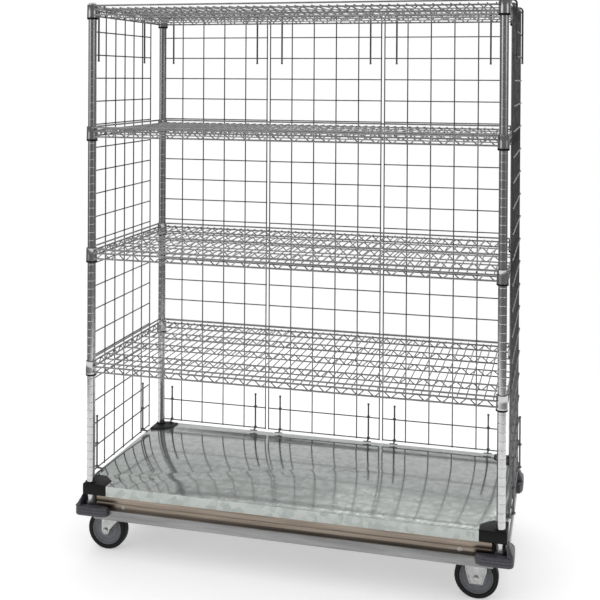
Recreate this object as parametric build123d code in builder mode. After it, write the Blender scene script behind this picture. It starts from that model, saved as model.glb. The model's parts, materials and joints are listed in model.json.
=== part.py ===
"""Mobile wire shelving truck with mesh enclosure panels on three sides and an open front.

Frame: +X along the length, +Y to the rear, +Z up, millimetres.
Origin: centre of the footprint, on the floor. The open front faces -Y.
"""

import math
import os

from build123d import *

# ---------------------------------------------------------------- driving sizes
POST_SPAN_X = 1270.0  # post centre to post centre, lengthwise
POST_SPAN_Y = 571.5  # post centre to post centre, front to rear

POST_OD = 25.4
POST_WALL = 1.5
GROOVE_PITCH = 25.4  # ring grooves, one an inch, that hold the split sleeves
GROOVE_WIDTH = 1.6
GROOVE_DEPTH = 0.5
CAP_RISE = 8.0
CAP_EDGE = 1.5
CAP_PLUG = 12.0

WHEEL_OD = 127.0
TYRE_WIDTH = 32.0
TYRE_THICKNESS = 14.5
TYRE_ROUND = 4.0
TYRE_SIDE_CLEAR = 6.0  # tyre's sides to the fork legs
TYRE_TOP_CLEAR = 22.0  # tyre's top to the caster's mounting face
HUB_WEB = 10.0
HUB_RIM = 6.0
HUB_RIM_INSET = 3.0  # hub's rim behind the tyre's sides
HUB_BOSS_R = 15.0
AXLE_R = 6.0
AXLE_HEAD_R = 9.0
AXLE_HEAD_T = 5.0
SWIVEL_TRAIL = 38.0
FORK_PLATE = 3.0
FORK_LIP = 12.0  # depth of a swivel leg's front edge under the crown
LEG_EYE_R = 13.0
CROWN_T = 4.0
CROWN_R = 27.0
RIGID_LEG_TOP = 62.0
RIGID_LEG_BOTTOM = 38.0
RIGID_LEG_BELOW = 16.0  # leg's end under the axle
RIGID_LEG_TAPER = 25.0  # leg's taper starts this far above the axle
RACE_HEIGHT = 6.0
RACE_R = 22.0
KINGPIN_R = 5.0
PIN_HEAD_R = 9.0
PIN_HEAD_T = 4.5
CASTER_INSET_X = 72.0  # caster centre inboard of the post centres
CASTER_INSET_Y = 60.0
CASTER_PLATE_X = 100.0
CASTER_PLATE_Y = 80.0
CASTER_PLATE_T = 4.0
CASTER_BOLT_X = 78.0
CASTER_BOLT_Y = 58.0
CASTER_BOLT_R = 4.0
BOLT_HEAD_R = 6.5
BOLT_HEAD_T = 5.0
NUT_T = 6.0

CROSS_PLATE_T = 4.0
CROSS_PLATE_WIDTH = 130.0
CENTRE_MEMBER_WIDTH = 60.0
LOWER_RAIL_HEIGHT = 30.0
LOWER_RAIL_T = 3.0
LOWER_RAIL_FLANGE = 25.0
UPPER_RAIL_HEIGHT = 42.0
UPPER_RAIL_DEPTH = 30.0
UPPER_RAIL_T = 2.5
UPPER_RAIL_SETBACK = 12.0  # behind the lower rail's face
UPPER_SEAM_WIDTH = 2.0
UPPER_SEAM_DEPTH = 1.2
UPPER_SEAM_FROM_TOP = 22.0
UPPER_CORNER_GAP = 24.0  # upper rails stop short of the post centres by this much
LOWER_CORNER_GAP = 20.0

EDGE_MARGIN = 6.3  # posts' outside to the outer edge of the deck and the lower rails
DECK_RIM = 32.0
DECK_SHEET = 1.5
DECK_RETURN = 14.0
CORNER_BLOCK_REACH = 60.0  # post centre to the block's inner faces
CORNER_BLOCK_HEIGHT = 34.0
BLOCK_CUT = 34.0  # the block's inner corner is cut off at an angle
BLOCK_ROUND = 12.0

BUMPER_PAD_T = 19.0
BUMPER_REACH = 68.0
BUMPER_PAD_BELOW = 18.0  # lower rails' top to the pad's underside
BUMPER_PAD_HEIGHT = 30.0
BUMPER_ROUND = 15.0
BUMPER_HUMP_HEIGHT = 28.0
BUMPER_HUMP_T = 15.0
BUMPER_HUMP_REACH = 42.0
BUMPER_HUMP_ROUND = 11.0
BUMPER_HUMP_MARGIN = 1.3  # posts' side to the raised wall, which stands at the ends only
SOCKET_WALL = 4.0
SOCKET_HEIGHT = 20.0
SOCKET_FLOOR = 4.0
SOCKET_REACH = 23.0  # post centre to the socket plate's inner edges

COLLAR_HEIGHT = 40.0
COLLAR_WALL = 1.8
SLEEVE_WALL_BOTTOM = 2.7
SLEEVE_WALL_TOP = 2.0
SLEEVE_RING = 6.0  # height of the sleeve's ring that shows under a collar
SLEEVE_SLIT = 1.0
LOWEST_SHELF_ABOVE = 342.4  # corner blocks' top to the lowest collar
SHELF_STEPS = (14, 15, 15)  # grooves from each wire shelf up to the next

RAIL_WIRE_R = 2.75
MAT_WIRE_R = 1.8
TRUSS_WIRE_R = 2.2
RAIL_OFFSET = 13.5  # post centre line to the rail wires' axes
LEDGE_Z = 25.0  # heights within a shelf, from the collar's bottom
BOTTOM_WIRE_Z = 8.0
MAT_PITCH = 25.4
MAT_INSET = 22.0
SNAKE_PITCH = 50.0
TRUSS_YS = (-150.0, 0.0, 150.0)

PANEL_WIRE_R = 2.1
PANEL_ROWS = 20
PANEL_ABOVE_COLLAR = 33.0
PANEL_ABOVE_DECK = 10.0
PANEL_CLEAR = 0.7  # collars to the panels' inner wires
REAR_PANELS = 3
REAR_CELLS = 5
REAR_PANEL_GAP = 12.0
REAR_SHORT = 32.5  # the three rear panels together are this much shorter than the post span
REAR_SHIFT = -26.0  # the rear panels hang a little to the left
SIDE_CELLS = 6
SIDE_SHORT = 132.0
HOOK_ROD_R = 3.0
HOOK_DROP = 166.0  # top wire of a panel to the hook rod's lower end
HOOK_INNER_LEG = 3.5
HOOK_CLEAR = 1.0  # hook's inner leg to the rail that it hangs on
HOOK_BEND_DROP = 2.0  # bend's centre under the rail's axis
HOOK_KNOB_R = 4.0
LATCH_ROD_R = 3.0
LATCH_LENGTH_REAR = 130.0
LATCH_LENGTH_SIDE = 175.0
LATCH_KNOB_R = 4.5
LATCH_ARM = 20.0
LATCH_FOOT_X = 28.0
LATCH_FOOT_Y = 8.0
LATCH_FOOT_T = 3.2
GUIDE_R = 6.0
GUIDE_HEIGHT = 6.0

WELD_SINK = 0.4  # welded wires sink into each other by this much
RAIL_END_SINK = 0.3  # rail wires' ends start this far inside the collar's wall
LATCH_CLEAR = 0.4  # latch rods to the panels' rows
RUN_CLEAR = 0.05  # radial clearance of a running fit
PLAY = 0.3  # gap between faces that move past each other
TOUCH_CLEAR = 0.1  # radial clearance of pieces that only stand in each other
TRUSS_GAP = 0.2  # support wires under the mat
FOOT_CLEAR = 0.8  # latch foot above the corner blocks

# ---------------------------------------------------------------- worked-out places
HALF_X = POST_SPAN_X / 2
HALF_Y = POST_SPAN_Y / 2
CORNERS = {
    "front_left": (-1, -1),
    "front_right": (1, -1),
    "rear_left": (-1, 1),
    "rear_right": (1, 1),
}
POST_R = POST_OD / 2
EDGE = POST_R + EDGE_MARGIN
BUMPER_PROUD = EDGE + BUMPER_PAD_T
WHEEL_R = WHEEL_OD / 2
FORK_HALF = TYRE_WIDTH / 2 + TYRE_SIDE_CLEAR
HUB_BOSS_LENGTH = 2 * (FORK_HALF - PLAY)

CASTER_HEIGHT = WHEEL_OD + TYRE_TOP_CLEAR
RAIL_TOP = CASTER_HEIGHT + CROSS_PLATE_T
FRAME_TOP = RAIL_TOP + UPPER_RAIL_HEIGHT
DECK_TOP = FRAME_TOP + DECK_RIM
BLOCK_TOP = FRAME_TOP + CORNER_BLOCK_HEIGHT
BUMPER_PAD_BOTTOM = RAIL_TOP - BUMPER_PAD_BELOW
POST_BOTTOM = RAIL_TOP + SOCKET_FLOOR

COLLAR_ZS = [BLOCK_TOP + LOWEST_SHELF_ABOVE]
for step in SHELF_STEPS:
    COLLAR_ZS.append(COLLAR_ZS[-1] + step * GROOVE_PITCH)
TOP_COLLAR = COLLAR_ZS[-1]
POST_TOP = TOP_COLLAR + COLLAR_HEIGHT
SLEEVE_BORE_R = POST_R + RUN_CLEAR
SLEEVE_R_BOTTOM = SLEEVE_BORE_R + SLEEVE_WALL_BOTTOM
SLEEVE_R_TOP = SLEEVE_BORE_R + SLEEVE_WALL_TOP
COLLAR_R_BOTTOM = SLEEVE_R_BOTTOM + RUN_CLEAR + COLLAR_WALL
COLLAR_R_TOP = SLEEVE_R_TOP + RUN_CLEAR + COLLAR_WALL

MAT_Z = LEDGE_Z + RAIL_WIRE_R + MAT_WIRE_R - WELD_SINK
TRUSS_Z = MAT_Z - MAT_WIRE_R - TRUSS_WIRE_R - TRUSS_GAP

PANEL_BOTTOM = DECK_TOP + PANEL_ABOVE_DECK
PANEL_TOP = TOP_COLLAR + PANEL_ABOVE_COLLAR
CELL_HEIGHT = (PANEL_TOP - PANEL_BOTTOM) / PANEL_ROWS
# distances outward from the post centre line
PANEL_COLUMN_OFF = COLLAR_R_BOTTOM + PANEL_CLEAR + PANEL_WIRE_R
PANEL_ROW_OFF = PANEL_COLUMN_OFF + 2 * PANEL_WIRE_R - WELD_SINK
HOOK_OFF = PANEL_ROW_OFF + PANEL_WIRE_R + HOOK_ROD_R - WELD_SINK
LATCH_OFF = PANEL_ROW_OFF + PANEL_WIRE_R + LATCH_ROD_R + LATCH_CLEAR
REAR_CELL = (POST_SPAN_X - REAR_SHORT - (REAR_PANELS - 1) * REAR_PANEL_GAP) / (
    REAR_PANELS * REAR_CELLS
)
SIDE_CELL = (POST_SPAN_Y - SIDE_SHORT) / SIDE_CELLS
LATCH_FOOT_Z = BLOCK_TOP + FOOT_CLEAR

os.makedirs("parts", exist_ok=True)


def save(part, name):
    """Labels a finished piece and writes it as parts/NAME.step."""
    part.label = name
    export_step(part, f"parts/{name}.step")
    print(f"{name}: {len(part.solids())} solid(s), {part.volume:.0f} mm3")


def save_at(part, name, x=0.0, y=0.0, z=0.0, turn=0.0):
    """Saves a copy of a master piece, turned about Z and then moved."""
    with BuildPart() as placed:
        with Locations(Location((x, y, z), (0, 0, turn))):
            add(part)
    save(placed.part, name)


# ---------------------------------------------------------------- dolly rails
def lower_rail(length):
    """Angle with its face outwards (+Y) and its flange inwards, lying along X."""
    with BuildPart() as rail:
        with BuildSketch(Plane.YZ.offset(-length / 2)):
            with Locations((EDGE - LOWER_RAIL_T / 2, RAIL_TOP - LOWER_RAIL_HEIGHT / 2)):
                Rectangle(LOWER_RAIL_T, LOWER_RAIL_HEIGHT)
            with Locations((EDGE - LOWER_RAIL_FLANGE / 2, RAIL_TOP - LOWER_RAIL_T / 2)):
                Rectangle(LOWER_RAIL_FLANGE, LOWER_RAIL_T)
        extrude(amount=length)
    return rail.part


def upper_rail(length):
    """Channel with its web outwards and a seam along the web, lying along X."""
    face = EDGE - UPPER_RAIL_SETBACK
    mid_z = RAIL_TOP + UPPER_RAIL_HEIGHT / 2
    with BuildPart() as rail:
        with BuildSketch(Plane.YZ.offset(-length / 2)):
            with Locations((face - UPPER_RAIL_DEPTH / 2, mid_z)):
                Rectangle(UPPER_RAIL_DEPTH, UPPER_RAIL_HEIGHT)
            with Locations((face - UPPER_RAIL_DEPTH / 2 - UPPER_RAIL_T, mid_z)):
                Rectangle(UPPER_RAIL_DEPTH, UPPER_RAIL_HEIGHT - 2 * UPPER_RAIL_T, mode=Mode.SUBTRACT)
            with Locations((face, FRAME_TOP - UPPER_SEAM_FROM_TOP)):
                Rectangle(2 * UPPER_SEAM_DEPTH, UPPER_SEAM_WIDTH, mode=Mode.SUBTRACT)
        extrude(amount=length)
    return rail.part


for label, maker, corner_gap in (
    ("lower_rail", lower_rail, LOWER_CORNER_GAP),
    ("upper_rail", upper_rail, UPPER_CORNER_GAP),
):
    long_rail = maker(POST_SPAN_X - 2 * corner_gap)
    short_rail = maker(POST_SPAN_Y - 2 * corner_gap)
    save_at(long_rail, f"{label}_rear", y=HALF_Y)
    save_at(long_rail, f"{label}_front", y=-HALF_Y, turn=180)
    save_at(short_rail, f"{label}_left", x=-HALF_X, turn=90)
    save_at(short_rail, f"{label}_right", x=HALF_X, turn=-90)

# ---------------------------------------------------------------- cross members
FLANGE_EDGE_Y = HALF_Y + EDGE - LOWER_RAIL_FLANGE
CASTER_X = HALF_X - CASTER_INSET_X
CASTER_Y = HALF_Y - CASTER_INSET_Y
CASTER_HOLE_R = CASTER_BOLT_R + 2 * TOUCH_CLEAR

for side, sign in (("left", -1), ("right", 1)):
    with BuildPart() as cross_plate:
        with BuildSketch(Plane.XY.offset(CASTER_HEIGHT)):
            with Locations((sign * CASTER_X, 0)):
                Rectangle(CROSS_PLATE_WIDTH, 2 * FLANGE_EDGE_Y)
            for y in (-CASTER_Y, CASTER_Y):
                with Locations((sign * CASTER_X, y)):
                    with GridLocations(CASTER_BOLT_X, CASTER_BOLT_Y, 2, 2):
                        Circle(CASTER_HOLE_R, mode=Mode.SUBTRACT)
        extrude(amount=CROSS_PLATE_T)
    save(cross_plate.part, f"caster_cross_plate_{side}")

UPPER_INNER_Y = HALF_Y + EDGE - UPPER_RAIL_SETBACK - UPPER_RAIL_DEPTH
with BuildPart() as centre_member:
    with BuildSketch(Plane.XZ.offset(-UPPER_INNER_Y)):
        with Locations((0, FRAME_TOP - UPPER_RAIL_HEIGHT / 2)):
            Rectangle(CENTRE_MEMBER_WIDTH, UPPER_RAIL_HEIGHT)
        with Locations((0, FRAME_TOP - UPPER_RAIL_HEIGHT / 2 - UPPER_RAIL_T)):
            Rectangle(CENTRE_MEMBER_WIDTH - 2 * UPPER_RAIL_T, UPPER_RAIL_HEIGHT, mode=Mode.SUBTRACT)
    extrude(amount=2 * UPPER_INNER_Y)
save(centre_member.part, "centre_cross_member")

# ---------------------------------------------------------------- corner sockets and bumpers
SOCKET_R = POST_R + SOCKET_WALL
SOCKET_PLATE = SOCKET_REACH + EDGE
with BuildPart() as sockets:
    for sx, sy in CORNERS.values():
        plate_x = sx * (HALF_X + (EDGE - SOCKET_REACH) / 2)
        plate_y = sy * (HALF_Y + (EDGE - SOCKET_REACH) / 2)
        with BuildSketch(Plane.XY.offset(RAIL_TOP)):
            with Locations((plate_x, plate_y)):
                Rectangle(SOCKET_PLATE, SOCKET_PLATE)
        extrude(amount=SOCKET_FLOOR)
        with BuildSketch(Plane.XY.offset(RAIL_TOP + SOCKET_FLOOR)):
            with Locations((sx * HALF_X, sy * HALF_Y)):
                Circle(SOCKET_R)
                Circle(POST_R + TOUCH_CLEAR, mode=Mode.SUBTRACT)
        extrude(amount=SOCKET_HEIGHT - SOCKET_FLOOR)
save(sockets.part, "corner_sockets")


def corner_wall(outer, reach, rounding):
    """L-shaped footprint that wraps the corner at +X +Y, outside the rails' faces."""
    span = outer + reach
    with BuildSketch() as wall:
        with Locations((outer - span / 2, outer - span / 2)):
            RectangleRounded(span, span, rounding)
        with Locations((EDGE - span / 2, EDGE - span / 2)):
            Rectangle(span, span, mode=Mode.SUBTRACT)
    return wall.sketch


def bumper():
    """Corner pad for the corner at +X +Y, with a raised wall on its X side only."""
    with BuildPart() as pad:
        with BuildSketch(Plane.XY.offset(BUMPER_PAD_BOTTOM)):
            add(corner_wall(BUMPER_PROUD, BUMPER_REACH, BUMPER_ROUND))
        extrude(amount=BUMPER_PAD_HEIGHT)
        with BuildSketch(Plane.XY.offset(BUMPER_PAD_BOTTOM + BUMPER_PAD_HEIGHT)):
            add(corner_wall(EDGE + BUMPER_HUMP_T, BUMPER_HUMP_REACH, BUMPER_HUMP_ROUND))
            with Locations((POST_R + BUMPER_HUMP_MARGIN - BUMPER_REACH, 0)):
                Rectangle(2 * BUMPER_REACH, 4 * BUMPER_REACH, mode=Mode.SUBTRACT)
        extrude(amount=BUMPER_HUMP_HEIGHT)
    return pad.part


bumper_master = bumper()
bumper_mirrored = mirror(bumper_master, about=Plane.YZ)
with BuildPart() as bumpers:
    for sx, sy in CORNERS.values():
        with Locations(Location((sx * HALF_X, sy * HALF_Y, 0), (0, 0, 0 if sy > 0 else 180))):
            add(bumper_master if sx == sy else bumper_mirrored)
save(bumpers.part, "corner_bumpers")

# ---------------------------------------------------------------- casters
PLATE_BOTTOM = CASTER_HEIGHT - CASTER_PLATE_T
CROWN_BOTTOM = PLATE_BOTTOM - RACE_HEIGHT - PLAY - CROWN_T
AXLE_HOLE_R = AXLE_R + RUN_CLEAR
HUB_R = WHEEL_R - TYRE_THICKNESS
FORK_OUT = FORK_HALF + FORK_PLATE

# tyre and hub, about an axle along Y through the origin
with BuildPart() as tyre_master:
    with BuildSketch(Plane.XY):
        with Locations(((HUB_R + WHEEL_R) / 2, 0)):
            RectangleRounded(TYRE_THICKNESS, TYRE_WIDTH, TYRE_ROUND)
    revolve(axis=Axis.Y)
with BuildPart() as hub_master:
    with BuildSketch(Plane.XY):
        with Locations((HUB_R - HUB_RIM / 2, 0)):
            Rectangle(HUB_RIM, TYRE_WIDTH - 2 * HUB_RIM_INSET)
        with Locations(((HUB_R + AXLE_HOLE_R) / 2, 0)):
            Rectangle(HUB_R - AXLE_HOLE_R, HUB_WEB)
        with Locations(((HUB_BOSS_R + AXLE_HOLE_R) / 2, 0)):
            Rectangle(HUB_BOSS_R - AXLE_HOLE_R, HUB_BOSS_LENGTH)
        with Locations((AXLE_HOLE_R / 2, 0)):
            Rectangle(AXLE_HOLE_R, 2 * TYRE_WIDTH, mode=Mode.SUBTRACT)
    revolve(axis=Axis.Y)
with BuildPart() as axle_master:
    with BuildSketch(Plane.XZ.offset(-FORK_OUT - AXLE_HEAD_T)):
        Circle(AXLE_HEAD_R)
    extrude(amount=AXLE_HEAD_T)
    with BuildSketch(Plane.XZ.offset(-FORK_OUT)):
        Circle(AXLE_R)
    extrude(amount=2 * FORK_OUT)
    with BuildSketch(Plane.XZ.offset(FORK_OUT)):
        RegularPolygon(AXLE_HEAD_R, 6)
    extrude(amount=AXLE_HEAD_T)

# swivel fork, about the kingpin's axis; the wheel trails towards -X
with BuildPart() as swivel_fork:
    with BuildSketch(Plane.XY.offset(CROWN_BOTTOM)):
        Circle(CROWN_R)
        with Locations(((CROWN_R - SWIVEL_TRAIL - LEG_EYE_R) / 2, 0)):
            Rectangle(CROWN_R + SWIVEL_TRAIL + LEG_EYE_R, 2 * FORK_OUT)
        Circle(KINGPIN_R + RUN_CLEAR, mode=Mode.SUBTRACT)
    extrude(amount=CROWN_T)
    for inner_face in (-FORK_OUT, FORK_HALF):
        with BuildSketch(Plane.XZ.offset(-inner_face)):
            with BuildLine():
                Polyline(
                    (-SWIVEL_TRAIL - LEG_EYE_R, WHEEL_R),
                    (-SWIVEL_TRAIL - LEG_EYE_R, CROWN_BOTTOM),
                    (CROWN_R, CROWN_BOTTOM),
                    (CROWN_R, CROWN_BOTTOM - FORK_LIP),
                    (-SWIVEL_TRAIL + LEG_EYE_R, WHEEL_R),
                    close=True,
                )
            make_face()
            with Locations((-SWIVEL_TRAIL, WHEEL_R)):
                Circle(LEG_EYE_R)
                Circle(AXLE_R + TOUCH_CLEAR, mode=Mode.SUBTRACT)
        extrude(amount=-FORK_PLATE)

# rigid fork, about the vertical through its axle
with BuildPart() as rigid_fork:
    with BuildSketch(Plane.XY.offset(PLATE_BOTTOM)):
        Rectangle(CASTER_PLATE_X, CASTER_PLATE_Y)
        with GridLocations(CASTER_BOLT_X, CASTER_BOLT_Y, 2, 2):
            Circle(CASTER_HOLE_R, mode=Mode.SUBTRACT)
    extrude(amount=CASTER_PLATE_T)
    for inner_face in (-FORK_OUT, FORK_HALF):
        with BuildSketch(Plane.XZ.offset(-inner_face)):
            with BuildLine():
                Polyline(
                    (-RIGID_LEG_TOP / 2, PLATE_BOTTOM),
                    (RIGID_LEG_TOP / 2, PLATE_BOTTOM),
                    (RIGID_LEG_TOP / 2, WHEEL_R + RIGID_LEG_TAPER),
                    (RIGID_LEG_BOTTOM / 2, WHEEL_R - RIGID_LEG_BELOW),
                    (-RIGID_LEG_BOTTOM / 2, WHEEL_R - RIGID_LEG_BELOW),
                    (-RIGID_LEG_TOP / 2, WHEEL_R + RIGID_LEG_TAPER),
                    close=True,
                )
            make_face()
            with Locations((0, WHEEL_R)):
                Circle(AXLE_R + TOUCH_CLEAR, mode=Mode.SUBTRACT)
        extrude(amount=-FORK_PLATE)

with BuildPart() as top_plate_master:
    with BuildSketch(Plane.XY.offset(PLATE_BOTTOM)):
        Rectangle(CASTER_PLATE_X, CASTER_PLATE_Y)
        with GridLocations(CASTER_BOLT_X, CASTER_BOLT_Y, 2, 2):
            Circle(CASTER_HOLE_R, mode=Mode.SUBTRACT)
        Circle(KINGPIN_R + RUN_CLEAR, mode=Mode.SUBTRACT)
    extrude(amount=CASTER_PLATE_T)
    with BuildSketch(Plane.XY.offset(PLATE_BOTTOM - RACE_HEIGHT)):
        Circle(RACE_R)
        Circle(KINGPIN_R + RUN_CLEAR, mode=Mode.SUBTRACT)
    extrude(amount=RACE_HEIGHT)
with BuildPart() as kingpin_master:
    with BuildSketch(Plane.XY.offset(CROWN_BOTTOM - PLAY - PIN_HEAD_T)):
        Circle(PIN_HEAD_R)
    extrude(amount=PIN_HEAD_T)
    with BuildSketch(Plane.XY.offset(CROWN_BOTTOM - PLAY)):
        Circle(KINGPIN_R)
    extrude(amount=CASTER_HEIGHT - CROWN_BOTTOM + PLAY)

for end, sy in (("front", -1), ("rear", 1)):
    y = sy * CASTER_Y
    swivel_x, rigid_x = -CASTER_X, CASTER_X
    wheel_x = swivel_x - SWIVEL_TRAIL
    save_at(top_plate_master.part, f"swivel_{end}_top_plate", swivel_x, y)
    save_at(kingpin_master.part, f"swivel_{end}_kingpin", swivel_x, y)
    save_at(swivel_fork.part, f"swivel_{end}_fork", swivel_x, y)
    save_at(axle_master.part, f"swivel_{end}_axle", wheel_x, y, WHEEL_R)
    save_at(hub_master.part, f"swivel_{end}_hub", wheel_x, y, WHEEL_R)
    save_at(tyre_master.part, f"swivel_{end}_tyre", wheel_x, y, WHEEL_R)
    save_at(rigid_fork.part, f"rigid_{end}_fork", rigid_x, y)
    save_at(hub_master.part, f"rigid_{end}_hub", rigid_x, y, WHEEL_R)
    save_at(tyre_master.part, f"rigid_{end}_tyre", rigid_x, y, WHEEL_R)

with BuildPart() as rigid_axles:
    with Locations((CASTER_X, -CASTER_Y, WHEEL_R), (CASTER_X, CASTER_Y, WHEEL_R)):
        add(axle_master.part)
save(rigid_axles.part, "rigid_axles")

with BuildPart() as caster_bolts:
    with Locations(*[(sx * CASTER_X, sy * CASTER_Y, 0) for sx, sy in CORNERS.values()]):
        with GridLocations(CASTER_BOLT_X, CASTER_BOLT_Y, 2, 2):
            with Locations((0, 0, PLATE_BOTTOM - BOLT_HEAD_T)):
                Cylinder(BOLT_HEAD_R, BOLT_HEAD_T, align=(Align.CENTER, Align.CENTER, Align.MIN))
            with Locations((0, 0, PLATE_BOTTOM)):
                Cylinder(
                    CASTER_BOLT_R,
                    RAIL_TOP - PLATE_BOTTOM,
                    align=(Align.CENTER, Align.CENTER, Align.MIN),
                )
            with Locations((0, 0, RAIL_TOP)):
                Cylinder(BOLT_HEAD_R, NUT_T, align=(Align.CENTER, Align.CENTER, Align.MIN))
save(caster_bolts.part, "caster_bolts")

# ---------------------------------------------------------------- bottom deck and corner blocks
DECK_X = POST_SPAN_X + 2 * EDGE
DECK_Y = POST_SPAN_Y + 2 * EDGE
BLOCK_SIDE = EDGE + CORNER_BLOCK_REACH


def block_outline(grow=0.0):
    """Footprint of a corner block for the corner at +X +Y, about the post centre."""
    low = -CORNER_BLOCK_REACH - grow
    high = EDGE + grow
    with BuildSketch() as outline:
        with BuildLine():
            Polyline(
                (high, high),
                (low, high),
                (low, high - BLOCK_SIDE + BLOCK_CUT),
                (high - BLOCK_SIDE + BLOCK_CUT, low),
                (high, low),
                close=True,
            )
        make_face()
    return outline.sketch


with BuildPart() as deck:
    with BuildSketch(Plane.XY.offset(FRAME_TOP)):
        Rectangle(DECK_X, DECK_Y)
    extrude(amount=DECK_RIM)
    with BuildSketch(Plane.XY.offset(FRAME_TOP + DECK_SHEET)):
        Rectangle(DECK_X - 2 * DECK_SHEET, DECK_Y - 2 * DECK_SHEET)
    extrude(amount=DECK_RIM - 2 * DECK_SHEET, mode=Mode.SUBTRACT)
    with BuildSketch(Plane.XY.offset(FRAME_TOP)):
        Rectangle(DECK_X - 2 * DECK_RETURN, DECK_Y - 2 * DECK_RETURN)
    extrude(amount=DECK_SHEET, mode=Mode.SUBTRACT)
    with BuildSketch(Plane.XY.offset(FRAME_TOP)):
        for (sx, sy), turn in zip(CORNERS.values(), (180, 270, 90, 0)):
            with Locations(Location((sx * HALF_X, sy * HALF_Y, 0), (0, 0, turn))):
                add(block_outline(TOUCH_CLEAR))
    extrude(amount=DECK_RIM, mode=Mode.SUBTRACT)
save(deck.part, "bottom_deck")

with BuildPart() as block_master:
    with BuildSketch(Plane.XY.offset(FRAME_TOP)):
        add(block_outline())
        Circle(POST_R + TOUCH_CLEAR, mode=Mode.SUBTRACT)
    extrude(amount=CORNER_BLOCK_HEIGHT)
    fillet(block_master.edges().filter_by(Axis.Z).sort_by(Axis.X)[-1], BLOCK_ROUND)
with BuildPart() as blocks:
    for (sx, sy), turn in zip(CORNERS.values(), (180, 270, 90, 0)):
        with Locations(Location((sx * HALF_X, sy * HALF_Y, 0), (0, 0, turn))):
            add(block_master.part)
save(blocks.part, "deck_corner_blocks")

# ---------------------------------------------------------------- posts, caps and sleeves
groove_count = int((POST_TOP - BLOCK_TOP) // GROOVE_PITCH)
post_profile = [(POST_R - POST_WALL, POST_BOTTOM), (POST_R, POST_BOTTOM)]
for i in range(groove_count, -1, -1):
    z = TOP_COLLAR - (i - 1) * GROOVE_PITCH - GROOVE_PITCH / 2
    if z > POST_TOP - GROOVE_WIDTH:
        continue
    post_profile.append((POST_R, z - GROOVE_WIDTH / 2))
    post_profile.append((POST_R - GROOVE_DEPTH, z))
    post_profile.append((POST_R, z + GROOVE_WIDTH / 2))
post_profile += [(POST_R, POST_TOP), (POST_R - POST_WALL, POST_TOP)]
with BuildPart() as post_master:
    with BuildSketch(Plane.XZ):
        with BuildLine():
            Polyline(*post_profile, close=True)
        make_face()
    revolve(axis=Axis.Z)
for corner, (sx, sy) in CORNERS.items():
    save_at(post_master.part, f"post_{corner}", sx * HALF_X, sy * HALF_Y)

CAP_DOME = CAP_RISE - CAP_EDGE
CAP_DOME_R = (POST_R**2 + CAP_DOME**2) / (2 * CAP_DOME)
CAP_CENTRE = POST_TOP + CAP_RISE - CAP_DOME_R
CAP_HALF_TURN = math.asin(POST_R / CAP_DOME_R) / 2
with BuildPart() as cap_master:
    with BuildSketch(Plane.XZ):
        with BuildLine():
            Line((0, CAP_CENTRE + CAP_DOME_R), (0, POST_TOP - CAP_PLUG))
            Polyline(
                (0, POST_TOP - CAP_PLUG),
                (POST_R - POST_WALL - TOUCH_CLEAR, POST_TOP - CAP_PLUG),
                (POST_R - POST_WALL - TOUCH_CLEAR, POST_TOP),
                (POST_R, POST_TOP),
                (POST_R, POST_TOP + CAP_EDGE),
            )
            ThreePointArc(
                (POST_R, POST_TOP + CAP_EDGE),
                (CAP_DOME_R * math.sin(CAP_HALF_TURN), CAP_CENTRE + CAP_DOME_R * math.cos(CAP_HALF_TURN)),
                (0, CAP_CENTRE + CAP_DOME_R),
            )
        make_face()
    revolve(axis=Axis.Z)
with BuildPart() as caps:
    with Locations(*[(sx * HALF_X, sy * HALF_Y, 0) for sx, sy in CORNERS.values()]):
        add(cap_master.part)
save(caps.part, "post_caps")

with BuildPart() as sleeve_master:
    with BuildSketch(Plane.XZ):
        with BuildLine():
            Polyline(
                (SLEEVE_BORE_R, -SLEEVE_RING),
                (COLLAR_R_BOTTOM, -SLEEVE_RING),
                (COLLAR_R_BOTTOM, 0),
                (SLEEVE_R_BOTTOM, 0),
                (SLEEVE_R_TOP, COLLAR_HEIGHT),
                (SLEEVE_BORE_R, COLLAR_HEIGHT),
                close=True,
            )
        make_face()
    revolve(axis=Axis.Z)
    with BuildSketch(Plane.XY.offset(-SLEEVE_RING)):
        Rectangle(4 * POST_R, SLEEVE_SLIT)
    extrude(amount=SLEEVE_RING + COLLAR_HEIGHT, mode=Mode.SUBTRACT)
with BuildPart() as sleeves:
    with Locations(
        *[(sx * HALF_X, sy * HALF_Y, z) for sx, sy in CORNERS.values() for z in COLLAR_ZS]
    ):
        add(sleeve_master.part)
save(sleeves.part, "split_sleeves")


# ---------------------------------------------------------------- wire shelves
def zigzag(length, low, high, pitch):
    """Snake wire's face in a sketch: a band that runs between two heights."""
    waves = max(2, round(length / pitch))
    pts = []
    for i in range(2 * waves + 1):
        pts.append((-length / 2 + i * length / (2 * waves), high if i % 2 else low))
    with BuildSketch() as band:
        with BuildLine():
            Polyline(*pts)
        trace(line_width=2 * MAT_WIRE_R)
    return band.sketch


rail_x = HALF_X + RAIL_OFFSET
rail_y = HALF_Y + RAIL_OFFSET
collar_bore_r = COLLAR_R_BOTTOM - COLLAR_WALL
rail_start = math.sqrt(collar_bore_r**2 - (RAIL_OFFSET - RAIL_WIRE_R) ** 2) + RAIL_END_SINK
long_length = POST_SPAN_X - 2 * rail_start
short_length = POST_SPAN_Y - 2 * rail_start
mat_count = round((POST_SPAN_X - 2 * MAT_INSET) / MAT_PITCH) + 1
mat_step = (POST_SPAN_X - 2 * MAT_INSET) / (mat_count - 1)
snake_y = rail_y - RAIL_WIRE_R + WELD_SINK
snake_x = rail_x - RAIL_WIRE_R + WELD_SINK
wire_zs = (BOTTOM_WIRE_Z, LEDGE_Z, COLLAR_HEIGHT - RAIL_WIRE_R)

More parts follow.
